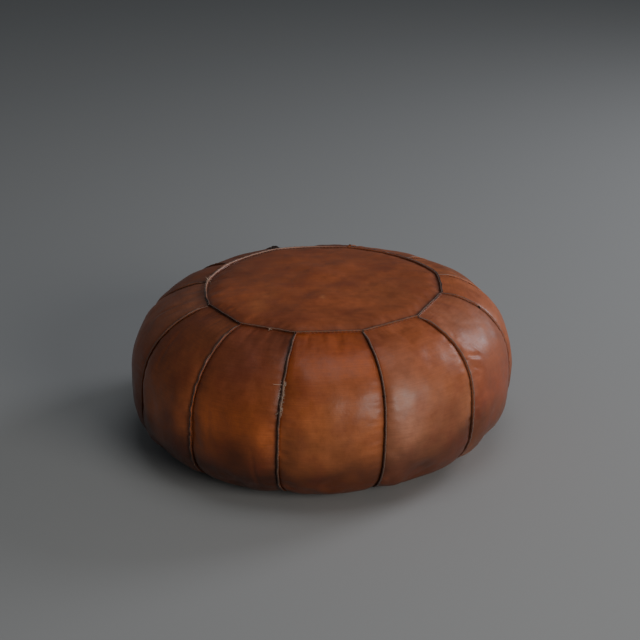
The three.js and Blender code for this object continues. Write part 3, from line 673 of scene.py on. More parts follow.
def sideRelief(panel, across, station):
    # everything that lifts a side panel off its plain shape, in metres
    bulge = blurred(sampled(bulges[panel], (across + 1) / 2, station / 2), 3)
    place = panelPoint(panel, across, station)
    free = 1 - abs(across) ** 6
    ends = smooth(station, 0, 0.1) * (1 - smooth(station, 1.6, 1.95))
    lumps = (1.3 * waves(place, 120 * mm, 31) + 0.5 * waves(place, 45 * mm, 32)) * mm * free * ends
    beside = 1 - abs(across)
    spots = np.stack([np.full(across.shape, panel), station * cover["sideLength"] / mm, across * 30], -1)
    pull = waves(spots, 15, 33 + panel) * mm * 0.55 * bell(beside, 0.3) * (1 - bell(beside, 0.04))
    gather = waves(np.stack([across * 90, station * 40], -1), 14, 61 + panel) * mm * 0.25
    gather = gather * bell(station, 0.12) * smooth(station, 0, 0.02)
    _, height, _, upward = outline(station)
    room = (height - 0.2 * mm) / np.maximum(0.05, -upward)  # it rests on the floor and no lower
    return np.minimum(bulge + lumps + pull * ends + gather + creaseRelief(panel, across, station), room)


# each side panel's colour at its top seam, its widest line and its foot; the foot tones are much darker,
# which is partly painted shade on the lower sides
panelDyeAndShade = (
    ("#a34d1d", "#ba6736", "#5b2c12"), ("#a4552b", "#a5643f", "#5e301a"), ("#a55d3a", "#954b2f", "#77452b"),
    ("#b25f33", "#aa5b31", "#5f331e"), ("#a65c33", "#985230", "#552c18"), ("#9a5430", "#8c4b2a", "#4e2814"),
    ("#904b28", "#824525", "#492512"), ("#8c4a28", "#7f4324", "#472411"), ("#8a4c2c", "#7e4626", "#452513"),
    ("#96583a", "#924c2c", "#442012"), ("#854523", "#ae5d31", "#48210f"), ("#864222", "#ba602b", "#47210d"),
)
topDye = "#a2532a"

# soft patches of another tone: panel (0 is the top), middle, size, hex and strength. On the sides the
# middle is (across, station) and on the top it is (x, y) in metres; sizes follow suit
patches = (
    (0, (-0.110, -0.115), (0.016, 0.040), "#bb6c3a", 0.45),
    (0, (-0.090, -0.055), (0.018, 0.045), "#b4683a", 0.40),
    (0, (0.004, -0.088), (0.004, 0.006), "#cf8555", 0.60),
    (0, (-0.060, -0.165), (0.060, 0.035), "#6b2c1a", 0.35),
    (0, (0.110, -0.060), (0.090, 0.060), "#9c5830", 0.35),
    (0, (-0.140, 0.080), (0.080, 0.080), "#6f4029", 0.45),
    (0, (0.050, 0.130), (0.110, 0.050), "#86492b", 0.30),
    (1, (0.05, 0.72), (0.55, 0.30), "#b4683a", 0.45),
    # this pale patch beside seam E is a painted highlight, laid over leather that is rubbed pale there
    (2, (-0.62, 0.66), (0.36, 0.30), "#bb8068", 0.50),
    (2, (0.35, 0.75), (0.40, 0.25), "#8d4a2c", 0.35),
    (3, (-0.20, 0.25), (0.60, 0.20), "#ab6c50", 0.50),
    (12, (-0.10, 0.35), (0.50, 0.20), "#7c3f2c", 0.45),
    (12, (0.10, 0.80), (0.50, 0.30), "#964514", 0.40),
    (11, (0.15, 0.30), (0.45, 0.25), "#8a4520", 0.40),
    (6, (0.20, 0.60), (0.45, 0.30), "#9a5530", 0.40),
    (8, (-0.25, 0.45), (0.45, 0.30), "#8f4f2c", 0.40),
)


def dyed(base, number, first, second):
    colour = base
    for panel, (x, y), (width, height), tint, strength in patches:
        if panel == number:
            share = strength * bell(np.hypot((first - x) / width, (second - y) / height), 1.0)[..., None]
            colour = colour * (1 - share) + np.array(linear(tint)) * share
    return colour


def mixedDyeAndShade(panel, across, station):
    upper, middleTone, foot = (np.array(linear(tone)) for tone in panelDyeAndShade[panel])
    first = smooth(station, 0.1, 0.95)[..., None]
    place = np.stack([across * cover["panelHalf"], station * cover["sideLength"]], -1)
    uneven = station + 0.07 * waves(place, 110 * mm, 90 + panel)
    second = smooth(uneven, 0.72, 1.2)[..., None]
    # the foot tone is painted shade: darkest just below the widest line, where the side turns under, and
    # lighter further down
    foot = foot * (1 + 0.6 * smooth(uneven, 1.08, 1.35)[..., None])  # darkest just below its widest line
    return dyed(upper * (1 - first) * (1 - second) + middleTone * first * (1 - second) + foot * second,
                panel + 1, across, station)


def leatherBody(name, grainPoints, fleshPoints, lay, dyeShadeAndHighlight, wearShadeAndHighlight):
    # two grids of points, the grain side and the flesh side, closed round their border by the cut edge
    rows, columns = grainPoints.shape[:2]
    faces = gridFaces(rows, columns)
    count = rows * columns
    border = gridBorder(rows, columns)
    edge = loopFaces(border, border + count)
    points = np.concatenate([grainPoints.reshape(-1, 3), fleshPoints.reshape(-1, 3)])
    allFaces = np.concatenate([faces, faces[:, ::-1] + count, edge[:, ::-1]])
    kinds = np.repeat([0, 1, 2], [len(faces), len(faces), len(edge)])
    both = {"lay": lay, "dyeShadeAndHighlight": dyeShadeAndHighlight, "wearShadeAndHighlight": wearShadeAndHighlight}
    attributes = {label: np.concatenate([field.reshape(count, -1)] * 2) for label, field in both.items()}
    return meshObject(name, points, allFaces, [leather, flesh, rawEdge], kinds, attributes)


panelMesh = {
    "across": 56,  # columns of squares between the fins
    "down": 128,
    "finShares": (1, 0.8, 0.6, 0.4, 0.2, 0.06),  # rows of points up a fin, from its tip to its root
}


def sideLayer(panel, stations, across, face, behind):
    # one face of a side panel: face is its distance from the seams' planes, behind its depth in the cover
    shares = np.array(panelMesh["finShares"])
    tall = cover["fin"]
    ringTall = cover["ringFin"]
    layer = int(behind > 0)

    def fin(seam, side, rows):
        lean = finLean(seam, rows[:, None])
        height = finHeight(seam, rows[:, None], side)
        out = -behind + shares * (height + behind)
        return seamPoint(seam, rows[:, None], side * face + lean * np.clip(out / tall, 0, 1) ** 1.5, out)

    def wholeRow(rows):
        half = (seamAngle(panel + 1, rows) - seamAngle(panel, rows)) / 2 * outline(rows)[0]
        margin = (face + 1.2 * mm) / half
        spread = across * (1 - margin)[:, None]
        relief = sideRelief(panel, spread, np.broadcast_to(rows[:, None], spread.shape))
        body = panelPoint(panel, spread, rows[:, None], relief - behind)
        first = fin(panel, 1, rows)
        last = fin(panel + 1, -1, rows)[:, ::-1]
        return np.concatenate([first, body, last], 1)

    rows = wholeRow(stations)
    top, foot = wholeRow(np.array([0.0, 0.01]))[:1], wholeRow(np.array([1.99, 2.0]))[-1:]
    angle = np.arctan2(top[..., 1] - middle.y, top[..., 0] - middle.x)
    up = (-behind + shares * (ringTall + behind))[:, None]
    ragged = 1 + 0.08 * waves(np.stack([np.cos(angle), np.sin(angle)], -1), 0.05, 71 + layer)
    lean = ringLean(angle) * np.clip(up / ringTall, 0, 1) ** 1.5
    topRows = movedOut(np.repeat(top, len(shares), 0), face + lean, up * ragged)
    inward = 2 * cover["seamGap"] + cover["allowance"] - face
    footRows = movedOut(np.repeat(foot, len(shares), 0), inward, (behind + shares * (tall - behind))[:, None])
    return np.concatenate([topRows, rows, footRows[::-1]])


def sidePanel(panel):
    rows, columns = panelMesh["down"], panelMesh["across"]
    stations = np.concatenate([[0.006, 0.014], np.linspace(0.025, 1.985, rows)])
    across = np.linspace(-1, 1, columns + 1)
    grain = sideLayer(panel, stations, across, seamFace, 0.0)
    back = sideLayer(panel, stations, across, cover["seamGap"], cover["leather"])
    fins = len(panelMesh["finShares"])
    station = np.concatenate([np.zeros(fins), stations, np.full(fins, 2.0)])[:, None]
    acrossAll = np.concatenate([np.full(fins, -1.0), across, np.full(fins, 1.0)])[None]
    station, acrossAll = np.broadcast_arrays(station, acrossAll)
    halfWidth = (seamAngle(panel + 1, station) - seamAngle(panel, station)) / 2 * outline(station)[0]
    down = station * cover["sideLength"]
    alongSeam = np.stack([acrossAll * halfWidth, down, np.full(station.shape, panel + 1.0)], -1)
    upFin = np.array(panelMesh["finShares"])
    finColumns = np.concatenate([upFin, np.zeros(columns + 1), upFin[::-1]])[None]
    finRows = np.concatenate([upFin, np.zeros(rows + 2), np.zeros(fins)])[:, None]
    tip = np.maximum(finColumns, finRows)
    toSide = (1 - abs(acrossAll)) * halfWidth
    toTop = seamRun(station)[..., 0] * mm
    toSeam = np.minimum(toSide, toTop + 0.5 * mm)
    # painted shade: darker beside the seams and at the fins' feet, where the fins shade the leather, with
    # some wax and dust
    grimeAndShade = 0.5 * bell(toSeam, 3.2 * mm) * (1 - tip) + 0.12 * bell(toSeam, 10 * mm) * (tip == 0)
    firstRubHighlight, firstGrimeShade = finRubHighlightAndShade[panel][1]
    lastRubHighlight, lastGrimeShade = finRubHighlightAndShade[(panel + 1) % sideCount][0]
    grimeAndShade = grimeAndShade * np.where(toSide > toTop, 0.45, np.where(acrossAll < 0, firstGrimeShade, lastGrimeShade))
    # painted shade: darker towards the foot
    grimeAndShade = grimeAndShade + 0.12 * smooth(station, 1.25, 1.7)
    # the pale fin tips are rubbed, and partly a painted highlight on the side facing the light
    rubAndHighlight = np.where(acrossAll < 0, firstRubHighlight, lastRubHighlight) * (finColumns > 0) * (1 - smooth(station, 0.9, 1.5))
    angle = seamAngle(panel, 0.0) + (seamAngle(panel + 1, 0.0) - seamAngle(panel, 0.0)) * (acrossAll + 1) / 2
    rubAndHighlight = np.maximum(rubAndHighlight, ringRubAndHighlight(angle) * 0.7 * (finRows > 0)) * smooth(tip, 0.45, 1.0)
    wearShadeAndHighlight = np.stack([np.clip(grimeAndShade, 0, 0.85), rubAndHighlight, tip], -1)
    body = leatherBody(
        "side_leather_%02d" % (panel + 1), grain, back, alongSeam, mixedDyeAndShade(panel, acrossAll, station), wearShadeAndHighlight)
    handIn(body, ["side_panel_%02d" % (panel + 1)])
    return body


for panel in range(sideCount):
    sidePanel(panel)
print("side panels made")


topMesh = {"cells": 132, "finRows": (0.06, 0.2, 0.4, 0.6, 0.8, 1)}


def topRelief(points, ring):
    still = 1 - ring ** 4
    lumps = 1.6 * waves(points[..., :2], 150 * mm, 81) + 0.7 * waves(points[..., :2], 60 * mm, 82)
    x, y = points[..., 0], points[..., 1]
    scar = -0.9 * bell(np.hypot((x - 0.004), (y + 0.093) / 0.5), 0.004)
    puckers = 0.5 * waves(points[..., :2], 16 * mm, 83) * bell(1 - ring, 0.07) * (1 - ring ** 30)
    return (lumps * still + scar + puckers) * mm


def topPanel():
    cells = topMesh["cells"]
    ring, turn = squareRings(cells)
    edgeIndex = {}
    for i, j in zip(*np.where(ring > 1 - 1e-9)):
        edgeIndex[round(turn[i, j] * cells * 4) % (cells * 4)] = i * (cells + 1) + j
    loop = np.array([edgeIndex[k] for k in range(cells * 4)])
    loopTurn = np.arange(cells * 4) / (cells * 4)
    rise = blurred(sampled(topRise, *np.meshgrid(*[np.linspace(0, 1, cells + 1)] * 2, indexing="ij")), 3)
    axis = np.array([middle.x, middle.y, 0])
    shares = np.array(topMesh["finRows"])[:, None]
    faces, points, wearsShadeAndHighlight, kinds = [], [], [], []
    lastLoops = []
    tall = cover["ringFin"]
    for face, behind in ((seamFace, 0.0), (cover["seamGap"], cover["leather"])):
        start = sum(len(p) for p in points)
        plain = topPoint(ring, turn)
        flat = plain[..., :2] - axis[:2]
        length = np.linalg.norm(flat, axis=-1, keepdims=True)
        flat = flat * (1 - (face + 1.0 * mm) * ring[..., None] / np.maximum(length, mm))
        lift = topRelief(plain, ring) + rise - behind
        disc = np.concatenate([flat + axis[:2], (plain[..., 2] + lift)[..., None]], -1).reshape(-1, 3)
        edge = topEdge(loopTurn)[None]
        angle = np.arctan2(edge[..., 1] - middle.y, edge[..., 0] - middle.x)
        up = -behind + shares * (tall + behind)
        ragged = 1 + 0.08 * waves(np.stack([np.cos(angle), np.sin(angle)], -1), 0.05, 91)
        lean = ringLean(angle) * np.clip(up / tall, 0, 1) ** 1.5
        wall = movedOut(np.repeat(edge, len(shares), 0), lean - face, up * ragged)
        points += [disc, wall.reshape(-1, 3)]
        grid = gridFaces(cells + 1, cells + 1) + start
        loops = [loop + start] + [start + len(disc) + row * len(loop) + np.arange(len(loop))
                                  for row in range(len(shares))]
        quads = np.concatenate([grid] + [loopFaces(a, b) for a, b in zip(loops, loops[1:])])
        faces.append(quads)
        kinds.append(np.full(len(quads), 0 if behind == 0 else 1))
        lastLoops.append(loops[-1])
        toEdge = (1 - ring.ravel()) * cover["topRadius"]
        # painted shade: darker next to the top seam's fin, with some wax and dust
        grimeAndShade = 0.5 * bell(toEdge, 4 * mm) + 0.2 * bell(toEdge, 16 * mm)
        discGrimeShade = np.stack([grimeAndShade, 0 * grimeAndShade, 0 * grimeAndShade], -1)
        wallTip = np.repeat(shares, len(loop), 1).ravel()
        # the fin is paled by rubbing and by a painted highlight where it faces the light, and darkened at its
        # foot as painted shade
        wallRubHighlight = np.repeat(ringRubAndHighlight(angle), len(shares), 0).ravel()
        wallGrimeShade = 0.6 * (1 - wallTip) * (1 - 0.6 * wallRubHighlight)
        wearsShadeAndHighlight += [discGrimeShade, np.stack([wallGrimeShade, wallRubHighlight * smooth(wallTip, 0.3, 1.0), wallTip], -1)]
    faces.append(loopFaces(*lastLoops))
    kinds.append(np.full(len(loop), 2))
    points = np.concatenate(points)
    plainDye = np.broadcast_to(np.array(linear(topDye)), (len(points), 4))
    dyeShadeAndHighlight = dyed(plainDye, 0, points[:, 0], points[:, 1])
    attributes = {"lay": points, "dyeShadeAndHighlight": dyeShadeAndHighlight, "wearShadeAndHighlight": np.concatenate(wearsShadeAndHighlight)}
    body = meshObject("top_leather", points, np.concatenate(faces), [leather, flesh, rawEdge],
                      np.concatenate(kinds), attributes)
    handIn(body, ["top_panel"])


topPanel()
print("top panel made")


stitching = {
    "length": 5.2 * mm,
    "gap": 1.5 * mm,
    "radius": 0.42 * mm,  # two-ply linen thread, 0.8 mm
    "height": 2.4 * mm,  # up a side seam's fin
    "ringHeight": 1.7 * mm,
    "depth": 0.7 * mm,  # how far its ends dive into the leather
}
stitchShares = np.array([0, 0.12, 0.5, 0.88, 1])  # along one stitch
stitchRise = np.array([-1, 0.55, 1, 0.55, -1])  # above the leather, in thread radii; -1 is inside it


def stitchDepths():
    return np.where(stitchRise > 0, stitchRise * stitching["radius"], -stitching["depth"])


def sideStitches(seam):
    # saddle stitch along both faces of a side seam's fin
    stations = np.linspace(0.05, 1.62, 600)
    line = seamPoint(seam, stations, 0.0, stitching["height"])
    run = np.concatenate([[0], np.cumsum(np.linalg.norm(np.diff(line, axis=0), axis=1))])
    pitch = stitching["length"] + stitching["gap"]
    threads = Strands()
    for number in range(int(run[-1] / pitch)):
        at = number * pitch + stitchShares * stitching["length"]
        station = np.interp(at, run, stations)
        lean = finLean(seam, station) * (stitching["height"] / cover["fin"]) ** 1.5
        wander = 0.25 * mm * math.sin(number * 2.3 + seam)
        rise = stitchDepths()
        for side in (1, -1):
            place = seamPoint(seam, station, side * (seamFace + rise) + lean, stitching["height"] + wander)
            threads.add(place, stitching["radius"])
    body = threads.build("side_stitching_%02d" % (seam + 1), linenThread)
    handIn(body, ["side_seam_thread_%02d" % (seam + 1)])


def ringStitches(name, node, edge, faces, height, leanAt):
    # stitches round the top or the base seam: faces gives each row's distance from the seam and its side
    line = np.concatenate([edge, edge[:1]])
    run = np.concatenate([[0], np.cumsum(np.linalg.norm(np.diff(line, axis=0), axis=1))])
    pitch = stitching["length"] + stitching["gap"]
    count = int(run[-1] / pitch)
    pitch = run[-1] / count
    threads = Strands()
    for number in range(count):
        at = number * pitch + stitchShares * (pitch - stitching["gap"])
        place = np.stack([np.interp(at, run, line[:, axis]) for axis in range(3)], -1)
        angle = np.arctan2(place[:, 1] - middle.y, place[:, 0] - middle.x)
        for face, side in faces:
            offset = side * (face + stitchDepths()) + leanAt(angle)
            threads.add(movedOut(place, offset, height), stitching["radius"])
    handIn(threads.build(name, linenThread), [node])


for seam in range(sideCount):
    sideStitches(seam)
ringTurn = np.linspace(0, 1, 480, endpoint=False)
ringStitches("top_stitching", "top_seam_thread", topEdge(ringTurn), ((seamFace, -1), (seamFace, 1)),
             stitching["ringHeight"],
             lambda angle: ringLean(angle) * (stitching["ringHeight"] / cover["ringFin"]) ** 1.5)
baseCorners = np.array([seamPoint(seam, 2.0, 0.0, 0.0) for seam in range(sideCount + 1)])
baseShares = np.linspace(0, 1, 40, endpoint=False)[:, None]
baseEdge = np.concatenate([
    start + (end - start) * baseShares for start, end in zip(baseCorners, baseCorners[1:])])
ringStitches("base_stitching", "base_seam_thread", baseEdge, ((cover["seamGap"] + cover["leather"], -1),),
             3.2 * mm - cover["floorGap"], lambda angle: 0 * angle)
print("seams stitched")


def looseStrand(start, direction, length, curl, seed, steps=9):
    # a short thread end that springs away and droops
    pick = np.random.default_rng(seed)
    direction = np.array(direction, float) / np.linalg.norm(direction)
    bend = pick.normal(size=3)
    bend -= bend @ direction * direction
    bend /= np.linalg.norm(bend)
    share = np.linspace(0, 1, steps)[:, None]
    path = np.array(start) + direction * share * length + bend * curl * length * share ** 2
    return path - np.array([0, 0, 0.25 * length]) * share ** 2


def outwardAt(seam, station):
    _, _, outward, upward = outline(station)
    angle = float(seamAngle(seam, station))
    return np.array([outward * math.cos(angle), outward * math.sin(angle), upward])


def alongAt(seam, station):
    step = seamPoint(seam, station + 0.01, 0.0, 0.0) - seamPoint(seam, station, 0.0, 0.0)
    return step / np.linalg.norm(step)


def looseEnds():
    # where the front seam's thread has frayed, and its loose end
    pick = np.random.default_rng(5)
    frayed = Strands()
    for number in range(170):
        station = 0.35 + 0.25 * pick.random()
        angle = float(seamAngle(0, station))
        side = 1 if pick.random() < 0.85 else -1
        aside = np.array([-math.sin(angle), math.cos(angle), 0]) * side
        start = seamPoint(0, station, side * 1.4 * mm, (1.5 + 3.2 * pick.random()) * mm)
        way = outwardAt(0, station) * 0.3 + aside * pick.uniform(0.2, 0.9)
        way = way + alongAt(0, station) * pick.uniform(-1, 1)
        frayed.add(looseStrand(start, way, pick.uniform(2, 6) * mm, 0.6, 100 + number), 0.26 * mm, sides=5)
    start = seamPoint(0, 0.37, -1.4 * mm, 4.0 * mm)
    left = np.array([-0.9, -0.25, -0.05]) + outwardAt(0, 0.37) * 0.3
    frayed.add(looseStrand(start, left, 19 * mm, 0.45, 77, steps=14), 0.3 * mm)
    corner = seamPoint(9, 0.0, 0.0, 3.0 * mm)
    for number in range(12):  # a tangle of thread where the left seam meets the top
        way = np.array([pick.uniform(-1, 1), pick.uniform(-1, 1), pick.uniform(0.1, 0.7)])
        start = corner + pick.normal(size=3) * 1.5 * mm
        frayed.add(looseStrand(start, way, pick.uniform(3, 6) * mm, 1.2, 200 + number), 0.24 * mm, sides=5)
    fleck = topEdge(np.array([11.55 / sideCount]))[0] + np.array([0, -2.6 * mm, 2.5 * mm])
    for number in range(5):
        way = np.array([pick.uniform(-1, 1), -0.6, pick.uniform(0, 0.5)])
        frayed.add(looseStrand(fleck, way, 3.5 * mm, 0.6, 300 + number), 0.3 * mm, sides=5)
    handIn(frayed.build("frayed_thread_ends", frayedLinen), [])


def leatherScraps(name, material, places):
    # folded tabs of seam allowance left standing where seams meet
    strips, faces, count = [], [], 0
    for seam, station, length, width, lean, facing, seed in places:
        pick = np.random.default_rng(seed)
        root = seamPoint(seam, station, 0.0, 2.2 * mm)
        out = outwardAt(seam, station)
        down = alongAt(seam, station)
        side = np.cross(out, down)
        for fold in range(3):
            rows, columns = 9, 4
            up = np.linspace(0, 1, rows)[:, None, None]
            wide = np.linspace(-0.5, 0.5, columns)[None, :, None]
            turn = facing + pick.uniform(-0.4, 0.4) + (fold - 1) * 0.35
            flat = down * math.cos(turn) + side * math.sin(turn)
            normal = side * math.cos(turn) - down * math.sin(turn)
            centre = root + normal * (fold - 1) * 1.6 * mm + out * up * length * mm * pick.uniform(0.7, 1.0)
            centre = centre + (side * lean + down * pick.uniform(-0.5, 0.5)) * up ** 2 * length * mm
            curl = 0.8 * mm * np.sin(up * 4 + wide * 5)
            sheet = centre + flat * wide * width * mm * (1 - 0.45 * up) + normal * curl
            back = sheet - normal * 1.1 * mm * (1 - 0.4 * up)
            grid = gridFaces(rows, columns)
            total = rows * columns
            border = gridBorder(rows, columns)
            edge = loopFaces(border, border + total)[:, ::-1]
            strips += [sheet.reshape(-1, 3), back.reshape(-1, 3)]
            faces += [grid + count, grid[:, ::-1] + count + total, edge + count]
            count += 2 * total
    body = meshObject(name, np.concatenate(strips), np.concatenate(faces), [material])
    handIn(body, [])


looseEnds()
# seam, station, length and width in mm, lean, which way it faces (pi / 2 is across the seam), seed
leatherScraps("dark_seam_tabs", darkScrap, (
    (7, 0.004, 7.5, 17.0, 0.3, math.pi / 2, 11), (3, 0.22, 3.6, 5.0, -0.3, 0.4, 12),
    (1, 0.49, 3.0, 4.0, 0.4, 0.4, 13), (1, 1.66, 4.0, 7.0, 0.5, 0.4, 14)))
leatherScraps("tan_seam_tabs", tanScrap, ((6, 0.004, 5.5, 7.0, -0.2, math.pi / 2, 15),))
print("loose ends made")


baseShape = {
    "dishRise": 9 * mm,  # the leather is drawn up along the zip
    "dishHalfWidth": 62 * mm,
    "dishHalfLength": 160 * mm,
    "slitHalfWidth": 6.5 * mm,
    "slitEnd": 186 * mm,
}
zipHeight = (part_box("zip_tape_left")[0].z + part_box("zip_tape_left")[1].z) / 2


def dishRise(x, y):
    sideways = 1 - smooth(abs(y), baseShape["slitHalfWidth"], baseShape["dishHalfWidth"])
    lengthways = 1 - smooth(abs(x), baseShape["dishHalfLength"], cover["baseRadius"] - 6 * mm)
    return baseShape["dishRise"] * sideways * lengthways


def baseHalf(name, side):
    # one half of the round base, from the zip to the seam, with its outer edge turned up inside
    turns = np.linspace(0.004, math.pi - 0.004, 121) * side
    corners = baseCorners[:-1, :2] - np.array(middle[:2])
    cornerTurn = np.unwrap(np.arctan2(corners[:, 1], corners[:, 0]))
    reach = np.empty(len(turns))
    for k, turn in enumerate(turns):  # where a line from the middle meets the twelve-sided seam
        past = cornerTurn[0] + (turn - cornerTurn[0]) % (2 * math.pi)
        seam = int(np.searchsorted(cornerTurn, past, "right")) - 1
        a, b = corners[seam], corners[(seam + 1) % sideCount]
        ray = np.array([math.cos(turn), math.sin(turn)])
        across = b - a
        reach[k] = (a[0] * across[1] - a[1] * across[0]) / (ray[0] * across[1] - ray[1] * across[0])
    direction = np.stack([np.cos(turns), np.sin(turns)], -1)
    shares = np.linspace(0, 1, 30) ** 1.15
    lifts = np.array([0.15, 0.4, 0.7, 1.0])
    grids = []
    for edge, thick in ((cover["seamGap"], 0.0), (cover["seamGap"] + cover["leather"], cover["leather"])):
        far = direction * (reach - edge)[:, None]
        x = np.clip(far[:, 0], -baseShape["slitEnd"], baseShape["slitEnd"])
        closing = smooth(abs(x), baseShape["dishHalfLength"], baseShape["slitEnd"])
        slit = baseShape["slitHalfWidth"] * (1 - closing) + cover["seamGap"] * closing
        near = np.stack([x, side * slit], -1)
        flat = near[:, None] + (far - near)[:, None] * shares[None, :, None]
        pucker = waves(np.stack([flat[..., 0], 0.3 * flat[..., 1]], -1), 14 * mm, 51) * 0.5 * mm
        pucker = pucker * bell(flat[..., 1] - side * slit[:, None], 16 * mm) * (1 - closing[:, None])
        height = dishRise(flat[..., 0], flat[..., 1]) + thick
        height = height + np.maximum(pucker, -0.4 * mm) * (shares > 0.02)
        sheet = np.concatenate([flat, np.maximum(height, thick)[..., None]], -1)
        rim = np.concatenate([np.repeat(far[:, None], len(lifts), 1), np.broadcast_to(
            (thick + lifts * (cover["fin"] - thick))[None, :, None], (len(turns), len(lifts), 1))], -1)
        grid = np.concatenate([sheet, rim], 1)
        grid[..., :2] += np.array(middle[:2])
        grids.append(grid)
    grain = grids[0]
    lay = grain.copy()
    toSeam = (reach[:, None] - np.linalg.norm(grain[..., :2] - np.array(middle[:2]), axis=-1))
    # darker all over, more so next to the seam, in clouds
    grimeAndShade = 0.35 + 0.35 * bell(toSeam, 8 * mm) + 0.2 * waves(grain[..., :2], 90 * mm, 52)
    wearShadeAndHighlight = np.stack([np.clip(grimeAndShade, 0, 0.8), 0 * grimeAndShade, 0 * grimeAndShade], -1)
    dyeShadeAndHighlight = np.broadcast_to(np.array(linear("#7d4526")), grain.shape[:2] + (4,))
    body = leatherBody("base_leather_" + name, grain, grids[1], lay, dyeShadeAndHighlight, wearShadeAndHighlight)
    handIn(body, ["base_panel_" + name])


for name, side in (("left", 1), ("right", -1)):
    baseHalf(name, side)

zipper = {
    "pitch": 5 * mm,
    "count": 58,
    "tooth": 2.6 * mm,
    "tapeInner": 3.6 * mm,
    "tapeWidth": 14 * mm,
    "tapeHalfLength": 168 * mm,
    "tapeThickness": 0.7 * mm,
}


def zipTeeth(name, side):
    # cast teeth: a rounded head that hooks into the other row and a body clenched on the tape's cord
    half = zipper["tooth"] / 2
    cells = (  # reach from the zip's middle, half length along it, half thickness, in mm
        (-0.85, 0.55, 0.75), (-0.6, 0.85, 1.1), (0.1, 1.0, 1.3), (0.6, 0.75, 1.2), (1.4, 0.85, 1.3),
        (2.7, 1.0, 1.3), (3.2, 0.8, 0.9))
    turns = np.radians([45, 135, 225, 315])
    bevel = 0.25
    points, faces, count = [], [], 0
    first = -zipper["count"] * zipper["pitch"] / 2 + (0 if side > 0 else zipper["pitch"] / 2)
    for number in range(zipper["count"]):
        x = middle.x + first + number * zipper["pitch"] + 1.1 * mm
        for reach, long, thick in cells:
            for turn in turns:
                cx, cz = math.copysign(long, math.cos(turn)), math.copysign(thick, math.sin(turn))
                order = ((cx - math.copysign(bevel, cx), cz), (cx, cz - math.copysign(bevel, cz)))
                if math.cos(turn) * math.sin(turn) > 0:
                    order = order[::-1]
                for px, pz in order:
                    lift = math.copysign(min(abs(pz) * mm, half), pz)
                    points.append((x + px * mm, side * reach * mm, zipHeight + lift))
        loops = count + np.arange(len(cells) * 8).reshape(len(cells), 8)
        for loop, nextLoop in zip(loops, loops[1:]):
            faces.extend(loopFaces(loop, nextLoop).tolist())
        faces += [loops[0].tolist(), loops[-1][::-1].tolist()]
        count += len(cells) * 8
    body = meshObject("zip_brass_teeth_" + name, points, faces, [castBrass])
    for polygon in body.data.polygons:
        polygon.use_smooth = False
    handIn(body, ["zip_teeth_" + name])


def zipTape(name, side):
    # woven tape with a thick cord along its inner edge, slightly wavy where it is sewn on
    inner, wide = zipper["tapeInner"], zipper["tapeWidth"]
    x = np.linspace(-zipper["tapeHalfLength"], zipper["tapeHalfLength"], 240)[:, None]
    shares = np.concatenate([[0, 0.02, 0.05, 0.09, 0.12], np.linspace(0.16, 1, 16)])[None]
    cord = 0.28 * mm * bell(shares - 0.05, 0.05)
    ripple = 0.12 * mm * np.sin(x / (7 * mm)) * shares
    layers = []
    for face in (1, -1):
        height = zipHeight + face * (zipper["tapeThickness"] / 2 * (1 - 0.5 * (shares == 1)) + cord) + ripple
        layers.append(np.stack(np.broadcast_arrays(
            middle.x + x, side * (inner - 0.15 * mm + shares * wide), height), -1))
    rows, columns = layers[0].shape[:2]
    total = rows * columns
    grid = gridFaces(rows, columns)
    border = gridBorder(rows, columns)
    faces = np.concatenate([grid, grid[:, ::-1] + total, loopFaces(border, border + total)[:, ::-1]])
    points = np.concatenate([part.reshape(-1, 3) for part in layers])
    body = meshObject("zip_woven_tape_" + name, points, faces, [tapeCotton])
    handIn(body, ["zip_tape_" + name])


def zipStitches(name, side):
    threads = Strands()
    span = baseShape["dishHalfLength"] - 10 * mm
    y = side * (baseShape["slitHalfWidth"] + 3.5 * mm)
    under = float(dishRise(0, y))
    rise = np.where(stitchRise > 0, -np.array([1, 0.5, 1, 0.5, 1]) * stitching["radius"], stitching["depth"])
    pitch = 4.4 * mm
    for number in range(int(2 * span / pitch)):
        x = middle.x - span + number * pitch + stitchShares * 3.4 * mm
        height = under + rise
        threads.add(np.stack(np.broadcast_arrays(x, y, height), -1), stitching["radius"])
    handIn(threads.build("zip_stitching_" + name, linenThread), ["zip_seam_thread_" + name])


for name, side in (("left", 1), ("right", -1)):
    zipTeeth(name, side)
    zipTape(name, side)
    zipStitches(name, side)

# the slider, its pull and the stops keep their own shape, with broken edges and a cast finish
for name in ("zip_slider_front", "zip_slider_back", "zip_pull", "zip_top_stop_left", "zip_top_stop_right",
             "zip_bottom_stop"):
    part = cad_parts[name]
    part.data.materials.clear()
    part.data.materials.append(castBrass)
    edges = part.modifiers.new("broken_edges", "BEVEL")
    edges.width = 0.28 * mm
    edges.segments = 2
    edges.limit_method = "ANGLE"
    edges.angle_limit = math.radians(35)
print("base and zip made")


inside = {
    "linerGap": 12 * mm,
    "linerThickness": 1.2 * mm,
    "linerFloor": 20 * mm,
    "mouth": 22 * mm,  # radius of the bag's tied opening underneath
    "stuffingGap": 15 * mm,
    "columns": 144,
    "topRows": 24,
    "sideRows": 60,
    "floorRows": 40,
}


def innerProfile(gap, floor, innermost):
    # the cover's outline moved in, from the middle of the top round to innermost on the floor side
    stations = np.linspace(0.05, 1.72, inside["sideRows"])
    radius, height, outward, upward = outline(stations)
    radius, height = radius - gap * outward, height - gap * upward
    height = np.maximum(height, floor)
    top = np.linspace(0.001, 0.97, inside["topRows"]) * radius[0]
    floorRun = np.linspace(radius[-1] * 0.99, innermost, inside["floorRows"])
    heights = [np.full(len(top), height[0]), height, np.full(len(floorRun), floor)]
    return np.concatenate([top, radius, floorRun]), np.concatenate(heights)


